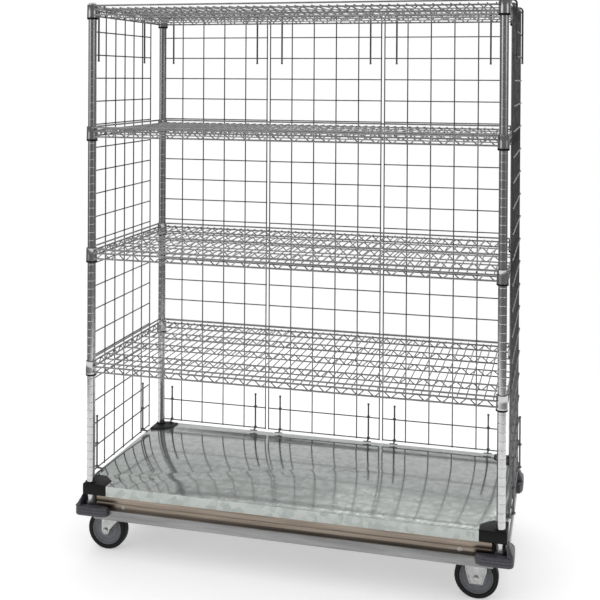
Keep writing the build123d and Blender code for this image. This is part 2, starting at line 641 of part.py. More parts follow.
with BuildPart() as collar_master:
    with BuildSketch(Plane.XZ):
        with BuildLine():
            Polyline(
                (COLLAR_R_BOTTOM - COLLAR_WALL, 0),
                (COLLAR_R_BOTTOM, 0),
                (COLLAR_R_TOP, COLLAR_HEIGHT),
                (COLLAR_R_TOP - COLLAR_WALL, COLLAR_HEIGHT),
                close=True,
            )
        make_face()
    revolve(axis=Axis.Z)

with BuildPart() as shelf_master:
    with Locations(*[(sx * HALF_X, sy * HALF_Y, 0) for sx, sy in CORNERS.values()]):
        add(collar_master.part)
    with Locations(*[(0, sy * rail_y, z) for sy in (-1, 1) for z in wire_zs]):
        Cylinder(RAIL_WIRE_R, long_length, rotation=(0, 90, 0))
    with Locations(*[(sx * rail_x, 0, z) for sx in (-1, 1) for z in wire_zs]):
        Cylinder(RAIL_WIRE_R, short_length, rotation=(90, 0, 0))
    with Locations(*[(0, y, z) for y in TRUSS_YS for z in (BOTTOM_WIRE_Z, TRUSS_Z)]):
        Cylinder(TRUSS_WIRE_R, 2 * rail_x, rotation=(0, 90, 0))
    with Locations(*[(-HALF_X + MAT_INSET + i * mat_step, 0, MAT_Z) for i in range(mat_count)]):
        Cylinder(MAT_WIRE_R, 2 * rail_y, rotation=(90, 0, 0))
    long_snake = zigzag(POST_SPAN_X - 4 * COLLAR_R_BOTTOM, BOTTOM_WIRE_Z, LEDGE_Z, SNAKE_PITCH)
    short_snake = zigzag(POST_SPAN_Y - 4 * COLLAR_R_BOTTOM, BOTTOM_WIRE_Z, LEDGE_Z, SNAKE_PITCH)
    with BuildSketch(Plane.XZ.offset(snake_y)):
        add(long_snake)
    extrude(amount=-2 * MAT_WIRE_R)
    with BuildSketch(Plane.XZ.offset(-snake_y)):
        add(long_snake)
    extrude(amount=2 * MAT_WIRE_R)
    with BuildSketch(Plane.YZ.offset(snake_x)):
        add(short_snake)
    extrude(amount=-2 * MAT_WIRE_R)
    with BuildSketch(Plane.YZ.offset(-snake_x)):
        add(short_snake)
    extrude(amount=2 * MAT_WIRE_R)
for label, z in zip(("lower", "middle", "upper", "top"), COLLAR_ZS):
    save_at(shelf_master.part, f"wire_shelf_{label}", z=z)


# ---------------------------------------------------------------- enclosure panels
def panel(cells, cell_width, latch_length):
    """Welded mesh panel with its two hook rods and four latch guides.

    Drawn with its width along X about its middle, +Y outwards from the post centre line.
    """
    width = cells * cell_width
    rod_x = width / 2 - cell_width / 2
    top_wire_z = TOP_COLLAR + COLLAR_HEIGHT - RAIL_WIRE_R
    inner_leg = RAIL_OFFSET - RAIL_WIRE_R - HOOK_ROD_R - HOOK_CLEAR
    bend = (HOOK_OFF - inner_leg) / 2
    bend_z = top_wire_z - HOOK_BEND_DROP
    upper_guide = LATCH_FOOT_Z + latch_length - 2 * LATCH_KNOB_R - GUIDE_HEIGHT / 2
    guide_zs = (PANEL_BOTTOM, min(PANEL_BOTTOM + CELL_HEIGHT, upper_guide))
    with BuildPart() as mesh:
        with Locations(
            *[(0, PANEL_ROW_OFF, PANEL_BOTTOM + i * CELL_HEIGHT) for i in range(PANEL_ROWS + 1)]
        ):
            Cylinder(PANEL_WIRE_R, width + 2 * PANEL_WIRE_R, rotation=(0, 90, 0))
        with Locations(
            *[
                (-width / 2 + i * cell_width, PANEL_COLUMN_OFF, (PANEL_BOTTOM + PANEL_TOP) / 2)
                for i in range(cells + 1)
            ]
        ):
            Cylinder(PANEL_WIRE_R, PANEL_TOP - PANEL_BOTTOM + 2 * PANEL_WIRE_R)
        with Locations(*[(x, LATCH_OFF, z) for x in (-rod_x, rod_x) for z in guide_zs]):
            Cylinder(GUIDE_R, GUIDE_HEIGHT)
        with Locations(*[(x, LATCH_OFF, z) for x in (-rod_x, rod_x) for z in guide_zs]):
            Cylinder(LATCH_ROD_R + RUN_CLEAR, 2 * GUIDE_HEIGHT, mode=Mode.SUBTRACT)
        for x in (-rod_x, rod_x):
            with BuildLine() as hook_path:
                Line((x, HOOK_OFF, PANEL_TOP - HOOK_DROP), (x, HOOK_OFF, bend_z))
                ThreePointArc(
                    (x, HOOK_OFF, bend_z),
                    (x, HOOK_OFF - bend, bend_z + bend),
                    (x, inner_leg, bend_z),
                )
                Line((x, inner_leg, bend_z), (x, inner_leg, bend_z - HOOK_INNER_LEG))
            with BuildSketch(Plane.XY.offset(PANEL_TOP - HOOK_DROP)):
                with Locations((x, HOOK_OFF)):
                    Circle(HOOK_ROD_R)
            sweep(path=hook_path.wire())
            with Locations((x, HOOK_OFF, PANEL_TOP - HOOK_DROP)):
                Sphere(HOOK_KNOB_R)
    return mesh.part


def latch(length):
    """Latch rod about its own axis, with an arm towards -Y and a foot across its end."""
    with BuildPart() as rod:
        with BuildSketch(Plane.XY.offset(LATCH_FOOT_Z)):
            Circle(LATCH_ROD_R)
        extrude(amount=length - LATCH_KNOB_R)
        with Locations((0, 0, LATCH_FOOT_Z + length - LATCH_KNOB_R)):
            Sphere(LATCH_KNOB_R)
        with BuildSketch(Plane.XY.offset(LATCH_FOOT_Z)):
            with Locations((0, -LATCH_ARM / 2)):
                Rectangle(2 * LATCH_ROD_R, LATCH_ARM)
            with Locations((0, -LATCH_ARM)):
                Rectangle(LATCH_FOOT_X, LATCH_FOOT_Y)
        extrude(amount=LATCH_FOOT_T)
    return rod.part


rear_panel = panel(REAR_CELLS, REAR_CELL, LATCH_LENGTH_REAR)
side_panel = panel(SIDE_CELLS, SIDE_CELL, LATCH_LENGTH_SIDE)
rear_latch = latch(LATCH_LENGTH_REAR)
side_latch = latch(LATCH_LENGTH_SIDE)
rear_step = REAR_CELLS * REAR_CELL + REAR_PANEL_GAP
rear_rod_x = (REAR_CELLS - 1) * REAR_CELL / 2
side_rod_y = (SIDE_CELLS - 1) * SIDE_CELL / 2
rear_centres = [REAR_SHIFT + (i - (REAR_PANELS - 1) / 2) * rear_step for i in range(REAR_PANELS)]

for label, x in zip(("left", "centre", "right"), rear_centres):
    save_at(rear_panel, f"panel_rear_{label}", x=x, y=HALF_Y)
save_at(side_panel, "panel_left", x=-HALF_X, turn=90)
save_at(side_panel, "panel_right", x=HALF_X, turn=-90)

rear_rods = [x + s * rear_rod_x for x in rear_centres for s in (-1, 1)]
for i, x in enumerate(rear_rods):
    save_at(rear_latch, f"latch_rod_rear_{i + 1}", x=x, y=HALF_Y + LATCH_OFF)
for end, y in (("front", -side_rod_y), ("rear", side_rod_y)):
    save_at(side_latch, f"latch_rod_left_{end}", x=-HALF_X - LATCH_OFF, y=y, turn=90)
    save_at(side_latch, f"latch_rod_right_{end}", x=HALF_X + LATCH_OFF, y=y, turn=-90)
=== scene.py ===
"""Looks of the mesh-enclosed wire shelving truck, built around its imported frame."""

from __future__ import annotations

import json
import logging
import math
from dataclasses import dataclass
from enum import Enum
from typing import Callable, Sequence

import bmesh
import bpy
from mathutils import Matrix, Vector

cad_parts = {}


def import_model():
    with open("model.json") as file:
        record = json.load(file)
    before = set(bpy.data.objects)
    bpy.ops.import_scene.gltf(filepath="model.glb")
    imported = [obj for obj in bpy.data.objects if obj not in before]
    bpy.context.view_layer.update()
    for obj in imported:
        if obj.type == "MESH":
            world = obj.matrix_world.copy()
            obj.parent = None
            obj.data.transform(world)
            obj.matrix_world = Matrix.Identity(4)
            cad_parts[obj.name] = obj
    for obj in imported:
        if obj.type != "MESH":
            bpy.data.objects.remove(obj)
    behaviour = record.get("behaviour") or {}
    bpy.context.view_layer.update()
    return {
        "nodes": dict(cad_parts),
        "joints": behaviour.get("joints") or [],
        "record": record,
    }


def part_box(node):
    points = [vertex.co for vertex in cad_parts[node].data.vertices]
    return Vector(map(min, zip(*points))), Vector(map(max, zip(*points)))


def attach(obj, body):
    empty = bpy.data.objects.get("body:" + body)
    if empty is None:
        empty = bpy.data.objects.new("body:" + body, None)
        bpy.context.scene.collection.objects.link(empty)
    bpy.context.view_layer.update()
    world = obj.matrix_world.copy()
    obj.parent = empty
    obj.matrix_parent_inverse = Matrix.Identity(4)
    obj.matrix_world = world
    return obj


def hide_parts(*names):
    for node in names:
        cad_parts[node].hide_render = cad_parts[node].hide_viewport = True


LOG = logging.getLogger("truck")
MM = 0.001
ROOT = "truck"
SHARP = math.radians(38)
WHITE = (1.0, 1.0, 1.0, 1.0)
SHELVES = ("lower", "middle", "upper", "top")

Point2 = tuple[float, float]


class Pattern(Enum):
    """How a finish's two colours are spread: soft clouds, or clouds mixed with crystal cells."""

    CLOUDY = "cloudy"
    SPANGLE = "spangle"


class Axis(Enum):
    """Direction that a straight piece lies along."""

    X = 0
    Y = 1
    Z = 2


# ---------------------------------------------------------------- nodes and finishes
def add_node(
    tree: bpy.types.NodeTree, kind: str, inputs: dict[str | int, object] | None = None, **settings: object
) -> bpy.types.Node:
    """Adds a node to a tree.

    Args:
        tree: The tree.
        kind: The node's type.
        inputs: Its inputs by name or number: a socket is linked, any other value is set.
        settings: Its properties by name.

    Returns:
        The node.
    """
    node = tree.nodes.new(kind)
    for name, value in settings.items():
        setattr(node, name, value)
    for name, value in (inputs or {}).items():
        if isinstance(value, bpy.types.NodeSocket):
            tree.links.new(value, node.inputs[name])
        else:
            node.inputs[name].default_value = value
    return node


@dataclass(frozen=True)
class Finish:
    """One procedural finish, tied to a material slot of the record.

    Args:
        slot: Name of the record's material slot.
        light: Colour of the clean areas.
        dark: Colour of the dull or worn areas.
        metallic: Metal share, 0 to 1.
        rough: Lowest and highest roughness.
        scale: Pattern scale, in features per metre.
        bump: Depth of the surface relief, in metres.
        stretch: Pattern stretch along X, Y and Z, uneven on brushed metal.
        coat: Weight of a clear glossy layer.
        gloss: Specular level, lower on dull dark rubber.
        pattern: How the two colours are spread.
    """

    slot: str
    light: tuple[float, float, float]
    dark: tuple[float, float, float]
    metallic: float
    rough: tuple[float, float]
    scale: float
    bump: float = 0.00005
    stretch: tuple[float, float, float] = (1.0, 1.0, 1.0)
    coat: float = 0.0
    gloss: float = 0.5
    pattern: Pattern = Pattern.CLOUDY

    def material(self) -> bpy.types.Material:
        """Builds the material, or returns it if it already exists.

        Returns:
            The node material.
        """
        name = f"{self.slot}_finish"
        found = bpy.data.materials.get(name)
        if found is not None:
            return found
        made = bpy.data.materials.new(name)
        made.use_nodes = True
        tree = made.node_tree
        tree.nodes.clear()
        coords = add_node(tree, "ShaderNodeTexCoord")
        spread = {"Vector": coords.outputs["Object"], "Scale": self.stretch}
        place = add_node(tree, "ShaderNodeMapping", spread)
        vector = place.outputs["Vector"]
        field = self._field(tree, vector)
        ramp = add_node(tree, "ShaderNodeValToRGB", {"Fac": field})
        for stop, position, colour in zip(ramp.color_ramp.elements, (0.28, 0.68), (self.dark, self.light)):
            stop.position = position
            stop.color = (*colour, 1.0)
        low, high = self.rough
        rough = add_node(tree, "ShaderNodeMapRange", {"Value": field, "To Min": high, "To Max": low})
        relief = {"Vector": vector, "Scale": self.scale * 6.0, "Detail": 4.0}
        fine = add_node(tree, "ShaderNodeTexNoise", relief)
        depth = {"Height": fine.outputs["Fac"], "Strength": 0.6, "Distance": self.bump}
        bump = add_node(tree, "ShaderNodeBump", depth)
        surface = {
            "Base Color": ramp.outputs["Color"],
            "Metallic": self.metallic,
            "Roughness": rough.outputs["Result"],
            "Normal": bump.outputs["Normal"],
            "Specular IOR Level": self.gloss,
            "Coat Weight": self.coat,
            "Coat Roughness": 0.12,
        }
        shader = add_node(tree, "ShaderNodeBsdfPrincipled", surface)
        add_node(tree, "ShaderNodeOutputMaterial", {"Surface": shader.outputs["BSDF"]})
        return made

    def _field(self, tree: bpy.types.NodeTree, vector: bpy.types.NodeSocket) -> bpy.types.NodeSocket:
        """Adds the nodes whose value, 0 to 1, mixes the two colours.

        Args:
            tree: The material's node tree.
            vector: The socket with the mapped coordinates.

        Returns:
            The socket that carries the value.
        """
        clouds = {"Vector": vector, "Scale": self.scale, "Detail": 6.0, "Roughness": 0.6}
        noise = add_node(tree, "ShaderNodeTexNoise", clouds)
        if self.pattern is Pattern.CLOUDY:
            return noise.outputs["Fac"]
        cells = add_node(tree, "ShaderNodeTexVoronoi", {"Vector": vector, "Scale": self.scale * 2.2})
        grey = add_node(tree, "ShaderNodeSeparateColor", {"Color": cells.outputs["Color"]})
        shares = {"Factor": 0.45, "A": noise.outputs["Fac"], "B": grey.outputs["Red"]}
        return add_node(tree, "ShaderNodeMix", shares).outputs["Result"]


CHROME_TUBE = Finish("chrome_tube", (0.64, 0.64, 0.65), (0.54, 0.54, 0.55), 1.0, (0.14, 0.26), 60.0)
CHROME_WIRE = Finish("chrome_wire", (0.38, 0.38, 0.38), (0.22, 0.22, 0.23), 1.0, (0.18, 0.34), 45.0)
ZINC_WIRE = Finish("zinc_wire", (0.19, 0.19, 0.19), (0.11, 0.11, 0.12), 1.0, (0.26, 0.42), 40.0)
ZINC_PLATE = Finish("zinc_plate", (0.55, 0.55, 0.54), (0.34, 0.35, 0.35), 1.0, (0.20, 0.40), 70.0)
GALVANISED = Finish(
    "galvanised_sheet", (0.48, 0.51, 0.49), (0.37, 0.40, 0.38), 0.85, (0.05, 0.16), 26.0,
    bump=0.00002, coat=0.25, pattern=Pattern.SPANGLE,
)
STAINLESS = Finish(
    "brushed_stainless", (0.36, 0.30, 0.25), (0.20, 0.165, 0.13), 1.0, (0.22, 0.38), 30.0,
    stretch=(0.12, 0.12, 3.0),
)
RAIL_STEEL = Finish(
    "rail_steel", (0.36, 0.36, 0.36), (0.22, 0.22, 0.22), 1.0, (0.28, 0.44), 30.0, stretch=(0.15, 0.15, 2.5)
)
BUMPER = Finish(
    "bumper_rubber", (0.062, 0.062, 0.075), (0.042, 0.042, 0.052), 0.0, (0.30, 0.44), 120.0, bump=0.00006
)
BLACK_PLASTIC = Finish(
    "black_plastic", (0.005, 0.005, 0.005), (0.003, 0.003, 0.003), 0.0, (0.35, 0.5), 200.0,
    bump=0.00008, gloss=0.2,
)
TYRE = Finish(
    "tyre_rubber", (0.008, 0.008, 0.008), (0.004, 0.004, 0.004), 0.0, (0.5, 0.72), 150.0,
    bump=0.0001, gloss=0.25,
)
HUB = Finish(
    "hub_plastic", (0.170, 0.176, 0.190), (0.125, 0.130, 0.142), 0.0, (0.30, 0.44), 160.0, bump=0.00006
)
METALS = (CHROME_TUBE, CHROME_WIRE, ZINC_WIRE, ZINC_PLATE, GALVANISED, STAINLESS, RAIL_STEEL)
FINISHES = {finish.slot: finish for finish in (*METALS, BUMPER, BLACK_PLASTIC, TYRE, HUB)}


# ---------------------------------------------------------------- mesh tools
def new_object(name: str, mesh: bpy.types.Mesh) -> bpy.types.Object:
    """Links an object at the origin.

    Args:
        name: Name of the object.
        mesh: Its mesh, with its place in its vertices.

    Returns:
        The object.
    """
    obj = bpy.data.objects.new(name, mesh)
    bpy.context.scene.collection.objects.link(obj)
    return obj


def to_mesh(bm: bmesh.types.BMesh, name: str) -> bpy.types.Mesh:
    """Ends a bmesh with its faces turned outwards and smooth shading.

    Args:
        bm: The bmesh, which is freed.
        name: Name of the mesh.

    Returns:
        The mesh.
    """
    bmesh.ops.remove_doubles(bm, verts=bm.verts, dist=1e-7)
    bmesh.ops.recalc_face_normals(bm, faces=bm.faces)
    mesh = bpy.data.meshes.new(name)
    bm.to_mesh(mesh)
    bm.free()
    mesh.shade_smooth()
    mesh.set_sharp_from_angle(angle=SHARP)
    return mesh


def ring_stack(bm: bmesh.types.BMesh, rings: Sequence[Sequence[Vector]], loop: bool = False) -> None:
    """Skins rings of equal length, and caps both ends unless they join up.

    Args:
        bm: The bmesh that takes the faces.
        rings: Rings of points in order.
        loop: Whether the last ring joins the first.
    """
    rows = [[bm.verts.new(p) for p in ring] for ring in rings]
    count = len(rows[0])
    pairs = list(zip(rows, rows[1:]))
    if loop:
        pairs.append((rows[-1], rows[0]))
    for low, high in pairs:
        for i in range(count):
            j = (i + 1) % count
            bm.faces.new((low[i], low[j], high[j], high[i]))
    if not loop:
        bm.faces.new(rows[0])
        bm.faces.new(rows[-1])


def add_lathe(
    bm: bmesh.types.BMesh,
    profile: Sequence[Point2],
    centre: Vector,
    axis: Axis = Axis.Z,
    segments: int = 32,
    closed: bool = False,
) -> None:
    """Turns a profile of (radius, height) points about an axis.

    Args:
        bm: The bmesh that takes the faces.
        profile: Profile points in order.
        centre: Origin of the profile.
        axis: Axis of the turning.
        segments: Faces round the axis.
        closed: Whether the profile is a closed section, such as a ring's.
    """
    rings = []
    for radius, height in profile:
        ring = []
        for i in range(segments):
            a = math.tau * i / segments
            c, s = radius * math.cos(a), radius * math.sin(a)
            if axis is Axis.Z:
                ring.append(centre + Vector((c, s, height)))
            elif axis is Axis.Y:
                ring.append(centre + Vector((s, height, c)))
            else:
                ring.append(centre + Vector((height, c, s)))
        rings.append(ring)
    ring_stack(bm, rings, loop=closed)


def add_tube(bm: bmesh.types.BMesh, path: Sequence[Vector], radius: float, segments: int = 10) -> None:
    """Sweeps a round wire along a path, with rounded ends.

    Args:
        bm: The bmesh that takes the faces.
        path: Points along the wire's axis.
        radius: Radius of the wire.
        segments: Faces round the wire.
    """
    pts = [Vector(p) for p in path]
    first = (pts[1] - pts[0]).normalized()
    last = (pts[-1] - pts[-2]).normalized()
    nip = radius * 0.55
    stations = [(pts[0], 0.5), (pts[0] + first * nip, 1.0)]
    stations += [(p, 1.0) for p in pts[1:-1]]
    stations += [(pts[-1] - last * nip, 1.0), (pts[-1], 0.5)]
    side = first.orthogonal().normalized()
    rings = []
    for i, (p, share) in enumerate(stations):
        before = stations[max(i - 1, 0)][0]
        after = stations[min(i + 1, len(stations) - 1)][0]
        along = (after - before).normalized()
        side = (side - along * side.dot(along)).normalized()
        up = along.cross(side)
        ring = []
        for k in range(segments):
            a = math.tau * k / segments
            ring.append(p + (side * math.cos(a) + up * math.sin(a)) * radius * share)
        rings.append(ring)
    ring_stack(bm, rings)


def add_prism(
    bm: bmesh.types.BMesh, outline: Sequence[Point2], low: float, high: float, axis: Axis = Axis.Z
) -> None:
    """Extrudes a flat outline between two places along an axis.

    Args:
        bm: The bmesh that takes the faces.
        outline: Points across the axis, in X, Y, Z order.
        low: Start along the axis.
        high: End along the axis.
        axis: Direction of the extrusion.
    """
    rings = []
    for h in (low, high):
        if axis is Axis.Z:
            rings.append([Vector((a, b, h)) for a, b in outline])
        elif axis is Axis.Y:
            rings.append([Vector((a, h, b)) for a, b in outline])
        else:
            rings.append([Vector((h, a, b)) for a, b in outline])
    ring_stack(bm, rings)


def bevelled(mesh: bpy.types.Mesh, width: float, segments: int = 2, wall: float = 0.0) -> bpy.types.Mesh:
    """Rounds a mesh's sharp edges, after giving it a wall if it is a surface.

    Args:
        mesh: The mesh, which is removed.
        width: Width of the rounding.
        segments: Faces across the rounding.
        wall: Thickness towards the inside, or 0 for a solid.

    Returns:
        The finished mesh.
    """
    obj = new_object(mesh.name + "_work", mesh)
    if wall:
        shell = obj.modifiers.new("wall", "SOLIDIFY")
        shell.thickness = wall
        shell.offset = -1.0
        shell.use_even_offset = True
    soft = obj.modifiers.new("edge", "BEVEL")
    soft.width = width
    soft.segments = segments
    soft.limit_method = "ANGLE"
    soft.angle_limit = math.radians(30)
    return plain(obj, mesh.name)


def plain(obj: bpy.types.Object, name: str) -> bpy.types.Mesh:
    """Turns a work object with modifiers into one plain mesh.

    Args:
        obj: The work object, which is removed.
        name: Name of the new mesh.

    Returns:
        The mesh with its modifiers applied.
    """
    graph = bpy.context.evaluated_depsgraph_get()
    mesh = bpy.data.meshes.new_from_object(obj.evaluated_get(graph))
    old = obj.data
    bpy.data.objects.remove(obj)
    bpy.data.meshes.remove(old)
    mesh.name = name
    mesh.shade_smooth()
    mesh.set_sharp_from_angle(angle=SHARP)
    return mesh


def merged(name: str, meshes: Sequence[bpy.types.Mesh]) -> bpy.types.Mesh:
    """Puts several meshes into one.

    Args:
        name: Name of the new mesh.
        meshes: The meshes, which are removed.

    Returns:
        The joined mesh.
    """
    bm = bmesh.new()
    for mesh in meshes:
        bm.from_mesh(mesh)
        bpy.data.meshes.remove(mesh)
    joined = bpy.data.meshes.new(name)
    bm.to_mesh(joined)
    bm.free()
    joined.materials.clear()
    joined.shade_smooth()
    joined.set_sharp_from_angle(angle=SHARP)
    return joined


def moved(mesh: bpy.types.Mesh, matrix: Matrix) -> bpy.types.Mesh:
    """Copies a mesh to another place.

    Args:
        mesh: The mesh, which stays.
        matrix: Where the copy goes.

    Returns:
        The copy.
    """
    copy = mesh.copy()
    copy.transform(matrix)
    return copy


def rounded_path(points: Sequence[Vector], radius: float, steps: int = 5) -> list[Vector]:
    """Rounds the corners of a path of straight runs.

    Args:
        points: Corners of the path.
        radius: Distance from a corner to where its bend starts.
        steps: Points in each bend.

    Returns:
        The points of the rounded path.
    """
    out = [Vector(points[0])]
    for before, corner, after in zip(points, points[1:], points[2:]):
        corner = Vector(corner)
        a = corner + (Vector(before) - corner).normalized() * radius
        b = corner + (Vector(after) - corner).normalized() * radius
        for i in range(steps + 1):
            t = i / steps
            out.append(a * (1 - t) ** 2 + corner * 2 * t * (1 - t) + b * t**2)
    out.append(Vector(points[-1]))
    return out


def mm(points: Sequence[Point2]) -> list[Point2]:
    """Turns points in millimetres into metres."""
    return [(a * MM, b * MM) for a, b in points]


def arc(centre: Point2, radii: Point2, start: float, end: float, steps: int) -> list[Point2]:
    """Points along an arc, with both of its ends.

    Args:
        centre: Its centre.
        radii: Its radius along each axis.
        start: First angle, in quarter turns.
        end: Last angle, in quarter turns.
        steps: Steps from end to end.

    Returns:
        The points.
    """
    angles = [math.pi / 2 * (start + (end - start) * i / steps) for i in range(steps + 1)]
    return [(centre[0] + radii[0] * math.cos(a), centre[1] + radii[1] * math.sin(a)) for a in angles]


def bar(
    outline: Sequence[Point2], low: float, high: float, axis: Axis, edge: float, segments: int = 2
) -> bpy.types.Mesh:
    """Makes a bar or plate of one section, with rounded edges.

    Args:
        outline: The section, as for add_prism.
        low: One end along the axis.
        high: The other end.
        axis: Direction of the bar.
        edge: Width of the rounding.
        segments: Faces across the rounding.

    Returns:
        The bar's mesh.
    """
    bm = bmesh.new()
    add_prism(bm, outline, min(low, high), max(low, high), axis)
    return bevelled(to_mesh(bm, "bar"), edge, segments)


def finish_piece(
    name: str, mesh: bpy.types.Mesh, finish: Finish, body: str, *replaced: str
) -> bpy.types.Object:
    """Dresses a mesh and ties it to the frame.

    Args:
        name: Name of the piece.
        mesh: Its finished mesh.
        finish: Its finish.
        body: The body that it rides on.
        replaced: CAD nodes that it stands for.

    Returns:
        The finished piece.
    """
    mesh.materials.clear()
    mesh.materials.append(finish.material())
    obj = new_object(name, mesh)
    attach(obj, body)
    if replaced:
        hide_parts(*replaced)
    LOG.info("%s: %d faces", name, len(mesh.polygons))
    return obj


# ---------------------------------------------------------------- geometry node trees
def set_inputs(modifier: bpy.types.Modifier, values: dict[str, object]) -> None:
    """Sets a Geometry Nodes modifier's inputs by their sockets' identifiers.

    Args:
        modifier: The modifier, before its object is first evaluated.
        values: Input names and their values.
    """
    for item in modifier.node_group.interface.items_tree:
        if item.item_type == "SOCKET" and item.in_out == "INPUT" and item.name in values:
            modifier[item.identifier] = values[item.name]


def new_tree(name: str, inputs: Sequence[tuple[str, str]]) -> tuple[bpy.types.NodeTree, object, object]:
    """Starts a Geometry Nodes tree.

    Args:
        name: Name of the tree.
        inputs: Names and kinds of its inputs, after the geometry.

    Returns:
        The tree, its input node's outputs and its output node.
    """
    tree = bpy.data.node_groups.new(name, "GeometryNodeTree")
    for label, kind in (("Geometry", "Geometry"), *inputs):
        tree.interface.new_socket(label, in_out="INPUT", socket_type=f"NodeSocket{kind}")
    tree.interface.new_socket("Geometry", in_out="OUTPUT", socket_type="NodeSocketGeometry")
    return tree, add_node(tree, "NodeGroupInput").outputs, add_node(tree, "NodeGroupOutput")


def close_tree(tree: bpy.types.NodeTree, source: object, material: object, out: object) -> None:
    """Ends a tree in Realize Instances and Set Material.

    Args:
        tree: The tree.
        source: The socket with the geometry so far.
        material: The socket with the material.
        out: The tree's output node.
    """
    real = add_node(tree, "GeometryNodeRealizeInstances", {"Geometry": source})
    dressed = {"Geometry": real.outputs["Geometry"], "Material": material}
    dress = add_node(tree, "GeometryNodeSetMaterial", dressed)
    tree.links.new(dress.outputs["Geometry"], out.inputs["Geometry"])


def row_tree() -> bpy.types.NodeTree:
    """Tree that repeats the object's own mesh along a straight row.

    Returns:
        The tree, with Count, Start, Step and Material inputs.
    """
    found = bpy.data.node_groups.get("row_of_wires")
    if found is not None:
        return found
    kinds = (("Count", "Int"), ("Start", "Vector"), ("Step", "Vector"), ("Material", "Material"))
    tree, given, out = new_tree("row_of_wires", kinds)
    places = {"Count": given["Count"], "Start Location": given["Start"], "Offset": given["Step"]}
    line = add_node(tree, "GeometryNodeMeshLine", places, mode="OFFSET")
    copies = {"Points": line.outputs["Mesh"], "Instance": given["Geometry"]}
    spread = add_node(tree, "GeometryNodeInstanceOnPoints", copies)
    close_tree(tree, spread.outputs["Instances"], given["Material"], out)
    return tree


def snake_tree() -> bpy.types.NodeTree:
    """Tree that bends a straight wire along X into a rounded zigzag in X and Z.

    Returns:
        The tree, with Length, Half Wave, Height, Radius, Points and Material inputs.
    """
    found = bpy.data.node_groups.get("snake_wire")
    if found is not None:
        return found
    sizes = [(name, "Float") for name in ("Length", "Half Wave", "Height", "Radius")]
    tree, given, out = new_tree("snake_wire", [*sizes, ("Points", "Int"), ("Material", "Material")])

    def maths(operation: str, first: object, second: object) -> object:
        """Adds one sum and returns its result."""
        return add_node(tree, "ShaderNodeMath", {0: first, 1: second}, operation=operation).outputs["Value"]

    end = add_node(tree, "ShaderNodeCombineXYZ", {"X": given["Length"]})
    line = add_node(tree, "GeometryNodeCurvePrimitiveLine", {"End": end.outputs["Vector"]})
    stations = {"Curve": line.outputs["Curve"], "Count": given["Points"]}
    dense = add_node(tree, "GeometryNodeResampleCurve", stations)
    place = add_node(tree, "GeometryNodeInputPosition")
    parts = add_node(tree, "ShaderNodeSeparateXYZ", {"Vector": place.outputs["Position"]})
    wave = maths("PINGPONG", parts.outputs["X"], given["Half Wave"])
    share = maths("DIVIDE", wave, given["Half Wave"])
    soft = add_node(tree, "ShaderNodeMapRange", {"Value": share}, interpolation_type="SMOOTHSTEP")
    mix = add_node(tree, "ShaderNodeMix", {"Factor": 0.35, "A": share, "B": soft.outputs["Result"]})
    rise = maths("MULTIPLY", mix.outputs["Result"], given["Height"])
    offset = add_node(tree, "ShaderNodeCombineXYZ", {"Z": rise})
    bends = {"Geometry": dense.outputs["Curve"], "Offset": offset.outputs["Vector"]}
    shift = add_node(tree, "GeometryNodeSetPosition", bends)
    ring = add_node(tree, "GeometryNodeCurvePrimitiveCircle", {"Resolution": 8, "Radius": given["Radius"]})
    hull = {"Curve": shift.outputs["Geometry"], "Profile Curve": ring.outputs["Curve"], "Fill Caps": True}
    skin = add_node(tree, "GeometryNodeCurveToMesh", hull)
    close_tree(tree, skin.outputs["Mesh"], given["Material"], out)
    return tree


def row_of(mesh: bpy.types.Mesh, count: int, start: Vector, step: Vector, finish: Finish) -> bpy.types.Mesh:
    """Repeats a mesh along a row with the row tree.

    Args:
        mesh: The mesh to repeat, drawn about the origin.
        count: How many there are.
        start: Place of the first.
        step: From each to the next.
        finish: Finish that the tree sets.

    Returns:
        The row as one plain mesh.
    """
    obj = new_object(mesh.name + "_row", mesh)
    modifier = obj.modifiers.new("row", "NODES")
    modifier.node_group = row_tree()
    set_inputs(
        modifier, {"Count": count, "Start": start, "Step": step, "Material": finish.material()}
    )
    return plain(obj, mesh.name + "_row")


def snake(length: float, waves: int, height: float, radius: float, finish: Finish) -> bpy.types.Mesh:
    """Makes one zigzag wire along X from the origin with the snake tree.

    Args:
        length: Length along X.
        waves: Whole waves in that length.
        height: Rise from the low bends to the high ones.
        radius: Radius of the wire.
        finish: Finish that the tree sets.

    Returns:
        The wire as a plain mesh.
    """
    seed = bpy.data.meshes.new("snake_seed")
    obj = new_object("snake_work", seed)
    modifier = obj.modifiers.new("snake", "NODES")
    modifier.node_group = snake_tree()
    set_inputs(
        modifier,
        {
            "Length": length,
            "Half Wave": length / (2 * waves),
            "Height": height,
            "Radius": radius,
            "Points": 16 * waves + 1,
            "Material": finish.material(),
        },
    )
    return plain(obj, "snake")


def straight_wire(length: float, radius: float, axis: Axis, segments: int = 8) -> bpy.types.Mesh:
    """Makes one straight wire about the origin.

    Args:
        length: Overall length.
        radius: Radius of the wire.
        axis: Direction of the wire.
        segments: Faces round the wire.

    Returns:
        The wire's mesh.
    """
    half = Vector((0, 0, 0))
    half[axis.value] = length / 2
    bm = bmesh.new()
    add_tube(bm, [-half, half * 0.0, half], radius, segments)
    return to_mesh(bm, "wire")


